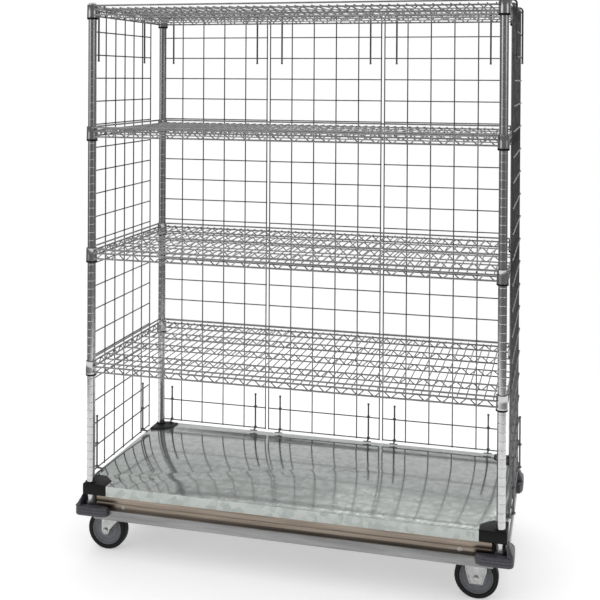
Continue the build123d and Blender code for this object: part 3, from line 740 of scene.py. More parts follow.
# ---------------------------------------------------------------- layout
@dataclass(frozen=True)
class Layout:
    """Places that several sub-assemblies share, read from the frame.

    Args:
        half_x: Post centres' distance from the middle, lengthwise.
        half_y: Post centres' distance from the middle, front to rear.
        post_r: Post radius.
        edge: Distance from the post centres to the deck's and the rails' outer faces.
    """

    half_x: float
    half_y: float
    post_r: float
    edge: float = 19 * MM

    @classmethod
    def read(cls) -> Layout:
        """Reads the layout from the front right post's box."""
        low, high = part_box("post_front_right")
        return cls((low.x + high.x) / 2, -(low.y + high.y) / 2, (high.x - low.x) / 2)

    def corners(self) -> dict[str, tuple[int, int]]:
        """Names of the corners and their signs in X and Y."""
        sides = (("front", -1), ("rear", 1)), (("left", -1), ("right", 1))
        return {f"{end}_{side}": (sx, sy) for end, sy in sides[0] for side, sx in sides[1]}

    def place(self, sx: int, sy: int, z: float = 0.0) -> Vector:
        """Post centre at the corner with those signs, at height z."""
        return Vector((sx * self.half_x, sy * self.half_y, z))

    def mirrored(self, master: bpy.types.Mesh) -> list[bpy.types.Mesh]:
        """Copies a mesh to every corner, mirrored.

        Args:
            master: The mesh, drawn for the corner +X +Y about its post centre; it is removed.

        Returns:
            The four copies.
        """
        copies = []
        for sx, sy in self.corners().values():
            mesh = moved(master, Matrix.Translation(self.place(sx, sy)) @ Matrix.Diagonal((sx, sy, 1, 1)))
            if sx * sy < 0:
                mesh.flip_normals()
            copies.append(mesh)
        bpy.data.meshes.remove(master)
        return copies


# ---------------------------------------------------------------- posts
@dataclass
class Posts:
    """Grooved round posts, their domed caps and the split sleeves."""

    layout: Layout
    pitch: float = 25.4 * MM
    groove: float = 0.9 * MM
    depth: float = 0.4 * MM
    groove_shape: tuple[Point2, ...] = ((-1.4, 0), (-1.0, 0), (-0.4, 0.8), (0.4, 0.8), (1.0, 0), (1.4, 0))
    foot_clear: float = 8 * MM
    segments: int = 28
    cap_skirt: float = 1.6 * MM
    bead_drop: float = 6.0 * MM
    bead_r: float = 17.3 * MM
    sleeve_gap: float = 0.1 * MM
    sleeve_top: float = 40.6 * MM

    def build(self) -> None:
        """Builds the four posts, the caps and the sleeves."""
        for name, (sx, sy) in self.layout.corners().items():
            bm = bmesh.new()
            add_lathe(bm, self._profile(), self.layout.place(sx, sy), segments=self.segments)
            node = f"post_{name}"
            finish_piece(f"tube_{name}", to_mesh(bm, node), CHROME_TUBE, ROOT, node)
        self._caps()
        self._sleeves()

    def _profile(self) -> list[Point2]:
        """Draws a post's outer profile, with a rounded groove at every pitch.

        Returns:
            Its points, as radius and height.
        """
        low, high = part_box("post_front_left")
        r = self.layout.post_r
        shelf_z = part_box("wire_shelf_top")[0].z
        count = int((high.z - low.z) / self.pitch) + 2
        points = [(r - 1.0 * MM, low.z), (r, low.z + 0.6 * MM)]
        for k in range(2 - count, 2):
            z = shelf_z + (k + 0.5) * self.pitch
            if z - self.groove >= low.z + self.foot_clear and z + self.groove <= high.z:
                for off, share in self.groove_shape:
                    points.append((r - share * self.depth, z + off * self.groove))
        points += [(r, high.z - 0.5 * MM), (r - 0.6 * MM, high.z)]
        return points

    def _caps(self) -> None:
        """Domed caps on the posts' ends."""
        top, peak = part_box("post_front_left")[1].z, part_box("post_caps")[1].z
        r, skirt = self.layout.post_r, top + self.cap_skirt
        profile = [(r - 2 * MM, top - 4 * MM), (r - 0.2 * MM, top + 0.1 * MM), (r, top + 0.6 * MM)]
        profile += arc((0.0, skirt), (r, peak - skirt), 0, 7 / 8, 7)
        profile.append((0.4 * MM, peak))
        bm = bmesh.new()
        for sx, sy in self.layout.corners().values():
            add_lathe(bm, profile, self.layout.place(sx, sy))
        finish_piece("domed_caps", to_mesh(bm, "caps"), CHROME_TUBE, ROOT, "post_caps")

    def _sleeves(self) -> None:
        """Black sleeves: a bead under each collar and the taper inside it."""
        r = (self.layout.post_r + self.sleeve_gap) / MM
        drop, bead, top = self.bead_drop / MM, self.bead_r / MM, self.sleeve_top / MM
        section = [(r, -drop), (bead - 1.2, -drop), (bead, 1.4 - drop), (bead, -1.2), (bead - 0.6, -0.1)]
        section += [(15.3, 0.0), (14.7, top), (r, top)]
        bm = bmesh.new()
        for label in SHELVES:
            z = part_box(f"wire_shelf_{label}")[0].z
            for sx, sy in self.layout.corners().values():
                add_lathe(bm, mm(section), self.layout.place(sx, sy, z), closed=True)
        finish_piece("black_sleeves", to_mesh(bm, "sleeves"), BLACK_PLASTIC, ROOT, "split_sleeves")


# ---------------------------------------------------------------- wire shelves
@dataclass
class WireShelf:
    """One welded wire shelf: collars, double rails, snake wires, trusses and mat."""

    layout: Layout
    label: str
    rail_r: float = 2.75 * MM
    mat_r: float = 1.8 * MM
    truss_r: float = 2.2 * MM
    offset: float = 13.5 * MM
    ledge: float = 25.0 * MM
    bottom: float = 8.0 * MM
    height: float = 40.0 * MM
    mat_pitch: float = 25.4 * MM
    mat_inset: float = 22.0 * MM
    rail_inset: float = 12.0 * MM
    snake_inset: float = 20.0 * MM
    snake_pitch: float = 50.0 * MM
    truss_ys: tuple[float, ...] = (-150 * MM, 0.0, 150 * MM)

    def build(self) -> None:
        """Builds the shelf's wires and its collars as two pieces, because they are plated apart."""
        lift = Matrix.Translation((0, 0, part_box(f"wire_shelf_{self.label}")[0].z))
        wires = merged(f"shelf_{self.label}", [*self._rails(), *self._mat(), *self._snakes()])
        finish_piece(f"shelf_{self.label}", moved(wires, lift), CHROME_WIRE, ROOT, f"wire_shelf_{self.label}")
        finish_piece(f"collars_{self.label}", moved(self._collars(), lift), CHROME_TUBE, ROOT)

    def _collars(self) -> bpy.types.Mesh:
        """Makes the tapered corner collars with rolled rims.

        Returns:
            The four collars.
        """
        top = self.height / MM
        section = [(15.5, 0.0), (17.2, 0.0), (17.3, 1.0), (17.1, 6.0), (16.9, top * 0.5), (16.6, top - 2.4)]
        section += [(17.0, top - 1.6), (16.9, top - 0.4), (16.2, top), (14.9, top)]
        bm = bmesh.new()
        for sx, sy in self.layout.corners().values():
            add_lathe(bm, mm(section), self.layout.place(sx, sy), closed=True)
        return to_mesh(bm, "collars")

    def _rails(self) -> list[bpy.types.Mesh]:
        """Makes the edge wires at three heights, and the trusses' straight wires.

        Returns:
            One mesh of them all.
        """
        bm = bmesh.new()
        x = self.layout.half_x - self.rail_inset
        y = self.layout.half_y - self.rail_inset
        rx = self.layout.half_x + self.offset
        ry = self.layout.half_y + self.offset
        for z in (self.bottom, self.ledge, self.height - self.rail_r):
            for s in (-1, 1):
                add_tube(bm, [(-x, s * ry, z), (0, s * ry, z), (x, s * ry, z)], self.rail_r)
                add_tube(bm, [(s * rx, -y, z), (s * rx, 0, z), (s * rx, y, z)], self.rail_r)
        top = self.ledge + self.rail_r - self.truss_r
        for ty in self.truss_ys:
            for z in (self.bottom, top):
                add_tube(bm, [(-rx, ty, z), (0, ty, z), (rx, ty, z)], self.truss_r, 8)
        return [to_mesh(bm, "rails")]

    def _mat(self) -> list[bpy.types.Mesh]:
        """Makes the front-to-rear wires in one even row.

        Returns:
            The row.
        """
        span = 2 * (self.layout.half_x - self.mat_inset)
        count = round(span / self.mat_pitch) + 1
        wire = straight_wire(2 * (self.layout.half_y + self.offset), self.mat_r, Axis.Y)
        start = Vector((-span / 2, 0, self.ledge + self.rail_r + self.mat_r))
        return [row_of(wire, count, start, Vector((span / (count - 1), 0, 0)), CHROME_WIRE)]

    def _snakes(self) -> list[bpy.types.Mesh]:
        """Makes the zigzag wires inside the edge rails and inside the trusses.

        Returns:
            The wires.
        """
        out = []
        rise = self.ledge - self.bottom + self.mat_r
        low = self.bottom - self.mat_r * 0.5
        half_x, half_y = self.layout.half_x, self.layout.half_y
        for along, across, turned in ((half_x, half_y, False), (half_y, half_x, True)):
            length = 2 * (along - self.snake_inset)
            wire = snake(length, round(length / self.snake_pitch), rise, self.mat_r, CHROME_WIRE)
            off = across + self.offset - self.rail_r - self.mat_r * 0.6
            turn = Matrix.Rotation(math.pi / 2 if turned else 0.0, 4, "Z")
            for y in (-off, off) if turned else (-off, off, *self.truss_ys):
                out.append(moved(wire, turn @ Matrix.Translation((-length / 2, y, low))))
            bpy.data.meshes.remove(wire)
        return out


# ---------------------------------------------------------------- enclosure panels
@dataclass
class MeshPanel:
    """Welded mesh panel with hook rods and latch guides, drawn with +Y outwards."""

    node: str
    cells: int
    turn: float
    origin: Vector
    rows: int = 20
    wire_r: float = 2.1 * MM
    column_off: float = 20.1 * MM
    row_off: float = 23.9 * MM
    hook_off: float = 28.6 * MM
    latch_off: float = 29.4 * MM
    hook_r: float = 3.0 * MM
    hook_drop: float = 166 * MM
    hook_tip: float = 3.4 * MM
    inner_leg: float = 6.75 * MM
    shelf_rail_r: float = 2.75 * MM
    deck_gap: float = 10 * MM
    top_rise: float = 33 * MM

    def build(self) -> None:
        """Builds the panel as one piece."""
        low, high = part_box(self.node)
        shelf_low, shelf_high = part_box("wire_shelf_top")
        width = max(high.x - low.x, high.y - low.y) - 2 * self.wire_r
        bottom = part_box("bottom_deck")[1].z + self.deck_gap
        top = shelf_low.z + self.top_rise
        cell = width / self.cells
        rise = (top - bottom) / self.rows
        row = straight_wire(width + 2 * self.wire_r, self.wire_r, Axis.X)
        column = straight_wire(top - bottom + 2 * self.wire_r, self.wire_r, Axis.Z)
        lowest = Vector((0, self.row_off, bottom))
        first = Vector((-width / 2, self.column_off, (bottom + top) / 2))
        meshes = [
            row_of(row, self.rows + 1, lowest, Vector((0, 0, rise)), ZINC_WIRE),
            row_of(column, self.cells + 1, first, Vector((cell, 0, 0)), ZINC_WIRE),
            self._hooks(width / 2 - cell / 2, top, shelf_high.z - self.shelf_rail_r),
            self._guides(width / 2 - cell / 2, bottom, rise),
        ]
        mesh = merged(self.node, meshes)
        mesh.transform(Matrix.Translation(self.origin) @ Matrix.Rotation(self.turn, 4, "Z"))
        finish_piece(self.node.replace("panel", "mesh"), mesh, ZINC_WIRE, ROOT, self.node)

    def _hooks(self, x: float, top: float, rail_z: float) -> bpy.types.Mesh:
        """Hook rods, down the outside and over the top shelf's rail.

        Args:
            x: Distance of each rod from the panel's middle.
            top: Height of the panel's top wire.
            rail_z: Height of the shelf rail that they hang on.

        Returns:
            The two rods.
        """
        bm = bmesh.new()
        bend = (self.hook_off - self.inner_leg) / 2
        bend_z = rail_z - 2 * MM
        foot = top - self.hook_drop
        route = [(self.hook_off, foot), *arc((self.hook_off - bend, bend_z), (bend, bend), 0, 2, 12)]
        route.append((self.inner_leg, bend_z - self.hook_tip))
        knob = mm([(0.3, -4.0), (2.8, -2.9), (4.0, 0.0), (2.9, 2.8), (0.3, 4.0)])
        for side in (-x, x):
            add_tube(bm, [Vector((side, y, z)) for y, z in route], self.hook_r)
            add_lathe(bm, knob, Vector((side, self.hook_off, foot)), segments=14)
        return to_mesh(bm, "hooks")

    def _guides(self, x: float, bottom: float, rise: float) -> bpy.types.Mesh:
        """Round guides that the latch rods turn in.

        Args:
            x: Distance of each rod from the panel's middle.
            bottom: Height of the panel's bottom wire.
            rise: Height of a mesh cell.

        Returns:
            The four guides.
        """
        bm = bmesh.new()
        section = mm([(3.15, -3.0), (5.4, -3.0), (6.0, -2.3), (6.0, 2.3), (5.4, 3.0), (3.15, 3.0)])
        for side in (-x, x):
            for z in (bottom, bottom + rise):
                add_lathe(bm, section, Vector((side, self.latch_off, z)), segments=18, closed=True)
        return to_mesh(bm, "guides")


@dataclass
class LatchRod:
    """Upright rod with a knob on top and a wire foot across its lower end."""

    label: str
    rod_r: float = 2.94 * MM
    foot_r: float = 1.6 * MM
    foot_half: float = 14 * MM
    reach: float = 20 * MM
    heel_bend: float = 4 * MM
    snap: float = 2 * MM

    def build(self, joint: dict) -> None:
        """Builds the rod about its joint's axis.

        Args:
            joint: The joint that turns it, as the frame gives it.
        """
        node = f"latch_rod_{self.label}"
        low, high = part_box(node)
        centre = Vector(joint["pos_m"])
        lean = ((low + high) / 2 - centre) / self.snap
        inward = Vector((round(lean.x), round(lean.y), 0)).normalized()
        across = Vector((-inward.y, inward.x, 0)) * self.foot_half
        foot_z = low.z + self.foot_r
        base = Vector((centre.x, centre.y, foot_z + 1.5 * MM))
        top = Vector((centre.x, centre.y, high.z - 4 * MM))
        toe = base + inward * self.reach
        heel = rounded_path([top, base, toe], self.heel_bend)
        heel[-1].z = toe.z = foot_z
        bm = bmesh.new()
        add_tube(bm, heel, self.rod_r, 12)
        add_tube(bm, [toe - across, toe, toe + across], self.foot_r, 10)
        knob = mm([(0.4, -4.4), (3.1, -3.3), (4.5, 0.0), (3.3, 3.0), (0.4, 4.4)])
        add_lathe(bm, knob, Vector((centre.x, centre.y, high.z - 4.4 * MM)), segments=16)
        finish_piece(f"rod_{self.label}", to_mesh(bm, node), ZINC_WIRE, joint["child"], node)


# ---------------------------------------------------------------- deck and corner blocks
@dataclass
class Deck:
    """Folded galvanised deck with its black corner blocks."""

    layout: Layout
    reach: float = 60 * MM
    cut: float = 34 * MM
    sheet: float = 1.5 * MM
    boss_rise: float = 3 * MM

    def build(self) -> None:
        """Builds the deck and the blocks."""
        low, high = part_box("bottom_deck")
        outline = self._notched()
        bm = bmesh.new()
        top = [bm.verts.new((x, y, high.z)) for x, y in outline]
        bottom = [bm.verts.new((x, y, low.z)) for x, y in outline]
        bm.faces.new(top)
        for i in range(len(outline)):
            j = (i + 1) % len(outline)
            bm.faces.new((bottom[i], bottom[j], top[j], top[i]))
        bmesh.ops.recalc_face_normals(bm, faces=bm.faces)
        mesh = bpy.data.meshes.new("deck")
        bm.to_mesh(mesh)
        bm.free()
        if mesh.polygons[0].normal.z < 0:
            mesh.flip_normals()
        mesh = bevelled(mesh, 2.2 * MM, 3, wall=self.sheet)
        finish_piece("folded_deck", mesh, GALVANISED, ROOT, "bottom_deck")
        self._blocks()

    def _block(self) -> list[Point2]:
        """Block's footprint at the corner +X +Y, about the post centre."""
        edge, end, inner = self.layout.edge, -self.reach, self.cut - self.reach
        return [(edge, edge), (end, edge), (end, inner), (inner, end), (edge, end)]

    def _notched(self) -> list[Point2]:
        """Draws the deck's outline, with each corner cut to its block.

        Returns:
            Its points.
        """
        notch = [(self.layout.half_x + x, self.layout.half_y + y) for x, y in self._block()[1:]]
        back = notch[::-1]
        rear_left = [(-x, y) for x, y in back]
        return [*notch, *((x, -y) for x, y in back), *((-x, -y) for x, y in notch), *rear_left]

    def _blocks(self) -> None:
        """Moulded blocks with a boss round each post."""
        low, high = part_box("deck_corner_blocks")
        meshes = self.layout.mirrored(bar(self._block(), low.z, high.z, Axis.Z, 3.0 * MM, 3))
        r = self.layout.post_r / MM
        ring = mm([(r + 0.1, -6.0), (r + 5.0, -6.0), (r + 4.2, -0.4), (r + 3.4, 0.0), (r + 0.1, 0.0)])
        bosses = bmesh.new()
        for sx, sy in self.layout.corners().values():
            add_lathe(bosses, ring, self.layout.place(sx, sy, high.z + self.boss_rise), closed=True)
        meshes.append(to_mesh(bosses, "bosses"))
        finish_piece("black_corners", merged("blocks", meshes), BLACK_PLASTIC, ROOT, "deck_corner_blocks")


# ---------------------------------------------------------------- dolly
@dataclass
class Dolly:
    """Rails, rail bolts and corner bumpers of the dolly base."""

    layout: Layout
    bolt_inset: float = 115 * MM
    bolt_height: float = 9 * MM
    angle_wall: float = 3 * MM
    channel_wall: float = 2.5 * MM
    seam_drop: float = 22 * MM
    seam_half: float = 1.0 * MM
    seam_depth: float = 1.2 * MM
    rail_round: float = 0.45 * MM
    pad_height: float = 30 * MM
    pad_reach: float = 68 * MM
    pad_turn: float = 17 * MM
    pad_face: tuple[Point2, ...] = (
        (-3.5, 1.0), (-1.0, 0.95), (0.0, 0.85), (0.0, 0.70), (-1.1, 0.67), (0.0, 0.64),
        (0.0, 0.40), (-1.1, 0.37), (0.0, 0.34), (0.0, 0.16), (-1.2, 0.05), (-3.8, 0.0),
    )
    wall_centre: float = -4.0 * MM
    wall_half: float = 37.0 * MM
    wall_fall: float = 0.72
    wall_steps: int = 14
    flute: float = 0.8
    wall_section: tuple[tuple[float, float, float], ...] = (
        (19.3, -0.1, 0.0), (19.3, 0.94, 0.0), (20.8, 1.0, 0.0), (23.5, 0.97, 0.5),
        (27.0, 0.74, 1.0), (31.0, 0.38, 1.0), (36.3, 0.03, 0.0), (36.3, -0.1, 0.0),
    )

    def build(self) -> None:
        """Builds the rails, the bumpers and the bolts."""
        for side in ("front", "rear", "left", "right"):
            self._rail(f"lower_rail_{side}", side, self._angle, RAIL_STEEL)
            self._rail(f"upper_rail_{side}", side, self._channel, STAINLESS)
        self._bumpers()
        self._bolts()

    def _bolts(self) -> None:
        """Small domed bolts in the lower band of the front and rear upper rails."""
        head = [(0.2, 3.4), (1.9, 3.1), (3.4, 2.3), (4.2, 1.0), (4.2, 0.8), (6.0, 0.8), (6.0, -0.4)]
        span = 2 * (self.layout.half_x - self.bolt_inset)
        meshes = []
        for side, sign in (("front", -1), ("rear", 1)):
            low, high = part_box(f"upper_rail_{side}")
            bm = bmesh.new()
            add_lathe(bm, mm([(r, sign * y) for r, y in head]), Vector((0, 0, 0)), Axis.Y, 20)
            start = Vector((-span / 2, high.y if sign > 0 else low.y, low.z + self.bolt_height))
            meshes.append(row_of(to_mesh(bm, "bolt"), 2, start, Vector((span, 0, 0)), ZINC_PLATE))
        finish_piece("rail_bolts", merged("rail_bolts", meshes), ZINC_PLATE, ROOT)

    def _angle(self, depth: float, height: float) -> list[Point2]:
        """Draws an angle section: face outwards at 0, flange inwards at the top.

        Args:
            depth: Its depth inwards.
            height: Its height.

        Returns:
            The section's points.
        """
        t = self.angle_wall
        return [(0, 0), (0, height), (-depth, height), (-depth, height - t), (-t, height - t), (-t, 0)]

    def _channel(self, depth: float, height: float) -> list[Point2]:
        """Draws a channel section with two pressed bands and a seam between them.

        Args:
            depth: Its depth inwards.
            height: Its height.

        Returns:
            The section's points.
        """
        t, d = self.channel_wall, self.seam_depth
        low, high = (height - self.seam_drop + s * self.seam_half for s in (-1, 1))
        face = [(0, 0), (0, low), (-d, low), (-d, high), (0, high), (0, height)]
        inside = [(-depth, height), (-depth, height - t), (-t, height - t), (-t, t), (-depth, t), (-depth, 0)]
        return face + inside

    def _rail(
        self, node: str, side: str, section: Callable[[float, float], list[Point2]], finish: Finish
    ) -> None:
        """Builds one rail from its box.

        Args:
            node: The CAD node that it stands for.
            side: Which side of the truck it is on.
            section: Section as a function of depth and height, outwards positive.
            finish: Its finish.
        """
        low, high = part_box(node)
        along, across = (0, 1) if side in ("front", "rear") else (1, 0)
        sign = 1 if side in ("rear", "right") else -1
        face = (high if sign > 0 else low)[across]
        shape = section(high[across] - low[across], high.z - low.z)
        outline = [(face + sign * a, low.z + b) for a, b in shape]
        mesh = bar(outline, low[along], high[along], Axis(along), self.rail_round)
        finish_piece(node.replace("rail", "bar"), mesh, finish, ROOT, node)

    def _bumpers(self) -> None:
        """Wrap-round corner pads with a raised wall at the post."""
        low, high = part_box("corner_bumpers")
        bm = bmesh.new()
        ring_stack(bm, self._pad_rings(low.z, high.x - self.layout.half_x))
        ring_stack(bm, self._wall_rings(low.z + self.pad_height, high.z))
        meshes = self.layout.mirrored(to_mesh(bm, "bumper"))
        finish_piece("rubber_bumpers", merged("bumpers", meshes), BUMPER, ROOT, "corner_bumpers")

    def _path(self, out: float) -> list[tuple[Vector, Vector]]:
        """Stations along an L round the corner, each with its outward direction.

        Args:
            out: Distance of the line outside the post centre.

        Returns:
            Places and outward directions.
        """
        bend = out - self.pad_turn
        run = [-self.pad_reach + (bend + self.pad_reach) * i / 6 for i in range(7)]
        stations = [(Vector((x, out, 0)), Vector((0, 1, 0))) for x in run]
        for x, y in arc((0.0, 0.0), (1.0, 1.0), 7 / 8, 1 / 8, 6):
            away = Vector((x, y, 0))
            stations.append((Vector((bend, bend, 0)) + away * self.pad_turn, away))
        stations += [(Vector((out, y, 0)), Vector((1, 0, 0))) for y in reversed(run)]
        return stations

    def _pad_rings(self, bottom: float, proud: float) -> list[list[Vector]]:
        """Draws the pad: a rounded section with two shallow grooves, drawn in at both ends.

        Args:
            bottom: Height of its lower edge.
            proud: Distance of its face outside the post centre.

        Returns:
            Its rings.
        """
        depth = proud - self.layout.edge
        face = [(-depth, 1.0), *((off * MM, share) for off, share in self.pad_face), (-depth, 0.0)]
        stations = self._path(proud)
        rings = []
        for k, (place, away) in enumerate(stations):
            ends = min(k, len(stations) - 1 - k)
            pull = (0.55, 0.93)[ends] if ends < 2 else 1.0
            ring = []
            for off, share in face:
                out = -depth + (off + depth) * pull
                lift = 0.5 + (share - 0.5) * (0.9 + 0.1 * pull)
                ring.append(place + away * out + Vector((0, 0, bottom + self.pad_height * lift)))
            rings.append(ring)
        return rings

    def _wall_rings(self, bottom: float, top: float) -> list[list[Vector]]:
        """Draws the raised end wall, which slopes outwards and rounds down at both ends.

        Args:
            bottom: Height that it stands on.
            top: Height of its highest edge.

        Returns:
            Its rings.
        """
        rings = []
        for k in range(self.wall_steps + 1):
            u = 2 * k / self.wall_steps - 1
            rise = (top - bottom) * (1 - abs(u) ** 3 * self.wall_fall)
            flute = self.flute if k % 2 else 0.0
            y = self.wall_centre - self.wall_half * u
            section = [((x - cut * flute) * MM, bottom + rise * share) for x, share, cut in self.wall_section]
            rings.append([Vector((x, y, z)) for x, z in section])
        return rings


# ---------------------------------------------------------------- casters
@dataclass
class Caster:
    """Wheel, fork and fixings of one caster."""

    name: str
    swivel: bool
    wheel_r: float = 63.5 * MM
    tyre_w: float = 32 * MM
    tyre_round: float = 5 * MM
    hub_r: float = 49 * MM
    fork_in: float = 22 * MM
    plate: float = 3 * MM
    crown: float = 4 * MM
    eye: float = 13 * MM
    leg_edge: float = 0.9 * MM

    def build(self, joints: dict[str, dict]) -> None:
        """Builds the caster.

        Args:
            joints: The frame's joints by name.
        """
        spin = joints[f"{self.name}_wheel_spin"]
        axle = Vector(spin["pos_m"])
        self._tyre(axle, spin["child"])
        self._hub(axle, spin["child"])
        if self.swivel:
            self._swivel_fork(axle, Vector(joints[f"{self.name}_turn"]["pos_m"]))
            bm = bmesh.new()
            self.add_axle(bm, axle)
            finish_piece(f"{self.name}_pin", to_mesh(bm, "axle"), ZINC_PLATE, self.name, f"{self.name}_axle")
        else:
            self._rigid_fork(axle)

    def _tyre(self, axle: Vector, body: str) -> None:
        """Builds the solid tyre, with rounded shoulders and a flat tread.

        Args:
            axle: Middle of the axle.
            body: The body that it rides on.
        """
        w, r, h, c = self.tyre_w / 2, self.wheel_r, self.hub_r, self.tyre_round
        half = [(h, -w + 1 * MM), (h + 2 * MM, -w)]
        half += arc((r - c, -w + 0.4 * MM + c), (c, c), -1, 0, 6)
        half.append((r, -0.4 * MM))
        bm = bmesh.new()
        add_lathe(bm, half + [(a, -b) for a, b in reversed(half)], axle, Axis.Y, 72, closed=True)
        finish_piece(f"{self.name}_tread", to_mesh(bm, "tyre"), TYRE, body, f"{self.name}_tyre")

    def _hub(self, axle: Vector, body: str) -> None:
        """Builds the moulded hub, with stepped rings on both faces.

        Args:
            axle: Middle of the axle.
            body: The body that it rides on.
        """
        h = self.hub_r / MM
        rim = [(h - 0.05, 13.0), (h - 1.0, 14.6), (h - 3.0, 14.6), (h - 4.2, 12.0)]
        web = [(h - 9.0, 8.5), (h - 12.0, 8.2), (h - 13.0, 9.6), (h - 15.0, 9.6), (h - 16.0, 8.2)]
        boss = [(22.0, 8.6), (19.0, 11.0), (16.5, 18.5), (15.0, 21.5), (6.1, 21.5)]
        half = mm(rim + web + boss)
        bm = bmesh.new()
        add_lathe(bm, half + [(a, -b) for a, b in reversed(half)], axle, Axis.Y, 64, closed=True)
        finish_piece(f"{self.name}_centre", to_mesh(bm, "hub"), HUB, body, f"{self.name}_hub")

    def add_axle(self, bm: bmesh.types.BMesh, axle: Vector) -> None:
        """Adds an axle bolt with a domed cap in front and a hex nut behind.

        Args:
            bm: The bmesh that takes its faces.
            axle: Middle of the axle.
        """
        face = (self.fork_in + self.plate) / MM
        shank = [(5.9, -face), (5.9, face)]
        cap = [(9.0, -face), (9.0, -face - 1.8), (8.2, -face - 3.4), (5.5, -face - 4.7), (0.5, -face - 5.0)]
        nut = [(8.9, face), (8.9, face + 4.4), (8.0, face + 5.0)]
        for profile, segments in ((shank, 24), (cap, 28), (nut, 6)):
            add_lathe(bm, mm(profile), axle, Axis.Y, segments)

    def _pair(
        self, outline: Sequence[Point2], inner: float, thick: float, edge: float
    ) -> list[bpy.types.Mesh]:
        """Makes the same plate on both sides of the wheel.

        Args:
            outline: The plate's outline in X and Z.
            inner: Distance of its inner face from the wheel's middle.
            thick: Its thickness.
            edge: Rounding of its edges.

        Returns:
            The two plates.
        """
        return [bar(outline, s * inner, s * (inner + thick), Axis.Y, edge) for s in (-1, 1)]

    def _swivel_fork(self, axle: Vector, pin: Vector) -> None:
        """Builds the fork that hangs from the race and trails to the axle.

        Args:
            axle: Middle of the axle.
            pin: Place of the swivel pin.
        """
        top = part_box(f"{self.name}_fork")[1].z
        under = top - self.crown
        face = self.fork_in + self.plate
        x, z = axle.x - pin.x, axle.z
        back, front = x - self.eye, 27 * MM
        leg = [(back, under + 1 * MM), *arc((x, z), (self.eye, self.eye), 2, 4.12, 12)]
        leg += [(front, under - 11 * MM), (front, under + 1 * MM)]
        rib = [(x - 7 * MM, under - 8 * MM), (x - 7 * MM, z + 14 * MM), (x - 1 * MM, z + 14 * MM)]
        rib += [(17 * MM, under - 12 * MM), (17 * MM, under - 8 * MM)]
        crown = [(back, -face), *arc((10 * MM, 0.0), (17 * MM, face), -1, 1, 8), (back, face)]
        meshes = self._pair(leg, self.fork_in, self.plate, self.leg_edge)
        meshes += self._pair(rib, face, 1.6 * MM, 0.7 * MM)
        meshes.append(bar(crown, under, top, Axis.Z, 1.0 * MM))
        mesh = merged("fork", meshes)
        mesh.transform(Matrix.Translation((pin.x, pin.y, 0)))
        finish_piece(f"{self.name}_yoke", mesh, ZINC_PLATE, self.name, f"{self.name}_fork")

    def _rigid_fork(self, axle: Vector) -> None:
        """Builds the fixed fork: top plate and two tapered legs with light flanges.

        Args:
            axle: Middle of the axle.
        """
        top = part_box(f"{self.name}_fork")[1].z
        under, knee, foot = top - self.crown, axle.z + 25 * MM, axle.z - 16 * MM
        wide, narrow = 31 * MM, 19 * MM
        half = [(-wide, under + 1 * MM), (-wide, knee), (-narrow, foot)]
        leg = half + [(-x, z) for x, z in reversed(half)]
        meshes = self._pair(leg, self.fork_in, self.plate, self.leg_edge)
        flange = [(wide, under), (wide, knee), (narrow, foot), (narrow - 3.5 * MM, foot)]
        flange += [(wide - 4 * MM, knee + 0.5 * MM), (wide - 4 * MM, under)]
        for t in (-1, 1):
            edge = [(t * x, z) for x, z in flange]
            meshes += self._pair(edge, self.fork_in + self.plate, 2 * MM, 0.8 * MM)
        plate = mm([(-50, -40), (50, -40), (50, 40), (-50, 40)])
        meshes.append(bar(plate, under, top, Axis.Z, 1.2 * MM))
        mesh = merged("fork", meshes)
        mesh.transform(Matrix.Translation((axle.x, axle.y, 0)))
        finish_piece(f"{self.name}_yoke", mesh, ZINC_PLATE, ROOT, f"{self.name}_fork")


def rigid_axles(joints: dict[str, dict]) -> None:
    """Builds both rigid casters' axle bolts as one piece.

    Args:
        joints: The frame's joints by name.
    """
    bm = bmesh.new()
    for name in ("rigid_front", "rigid_rear"):
        Caster(name, False).add_axle(bm, Vector(joints[f"{name}_wheel_spin"]["pos_m"]))
    finish_piece("rigid_pins", to_mesh(bm, "axles"), ZINC_PLATE, ROOT, "rigid_axles")


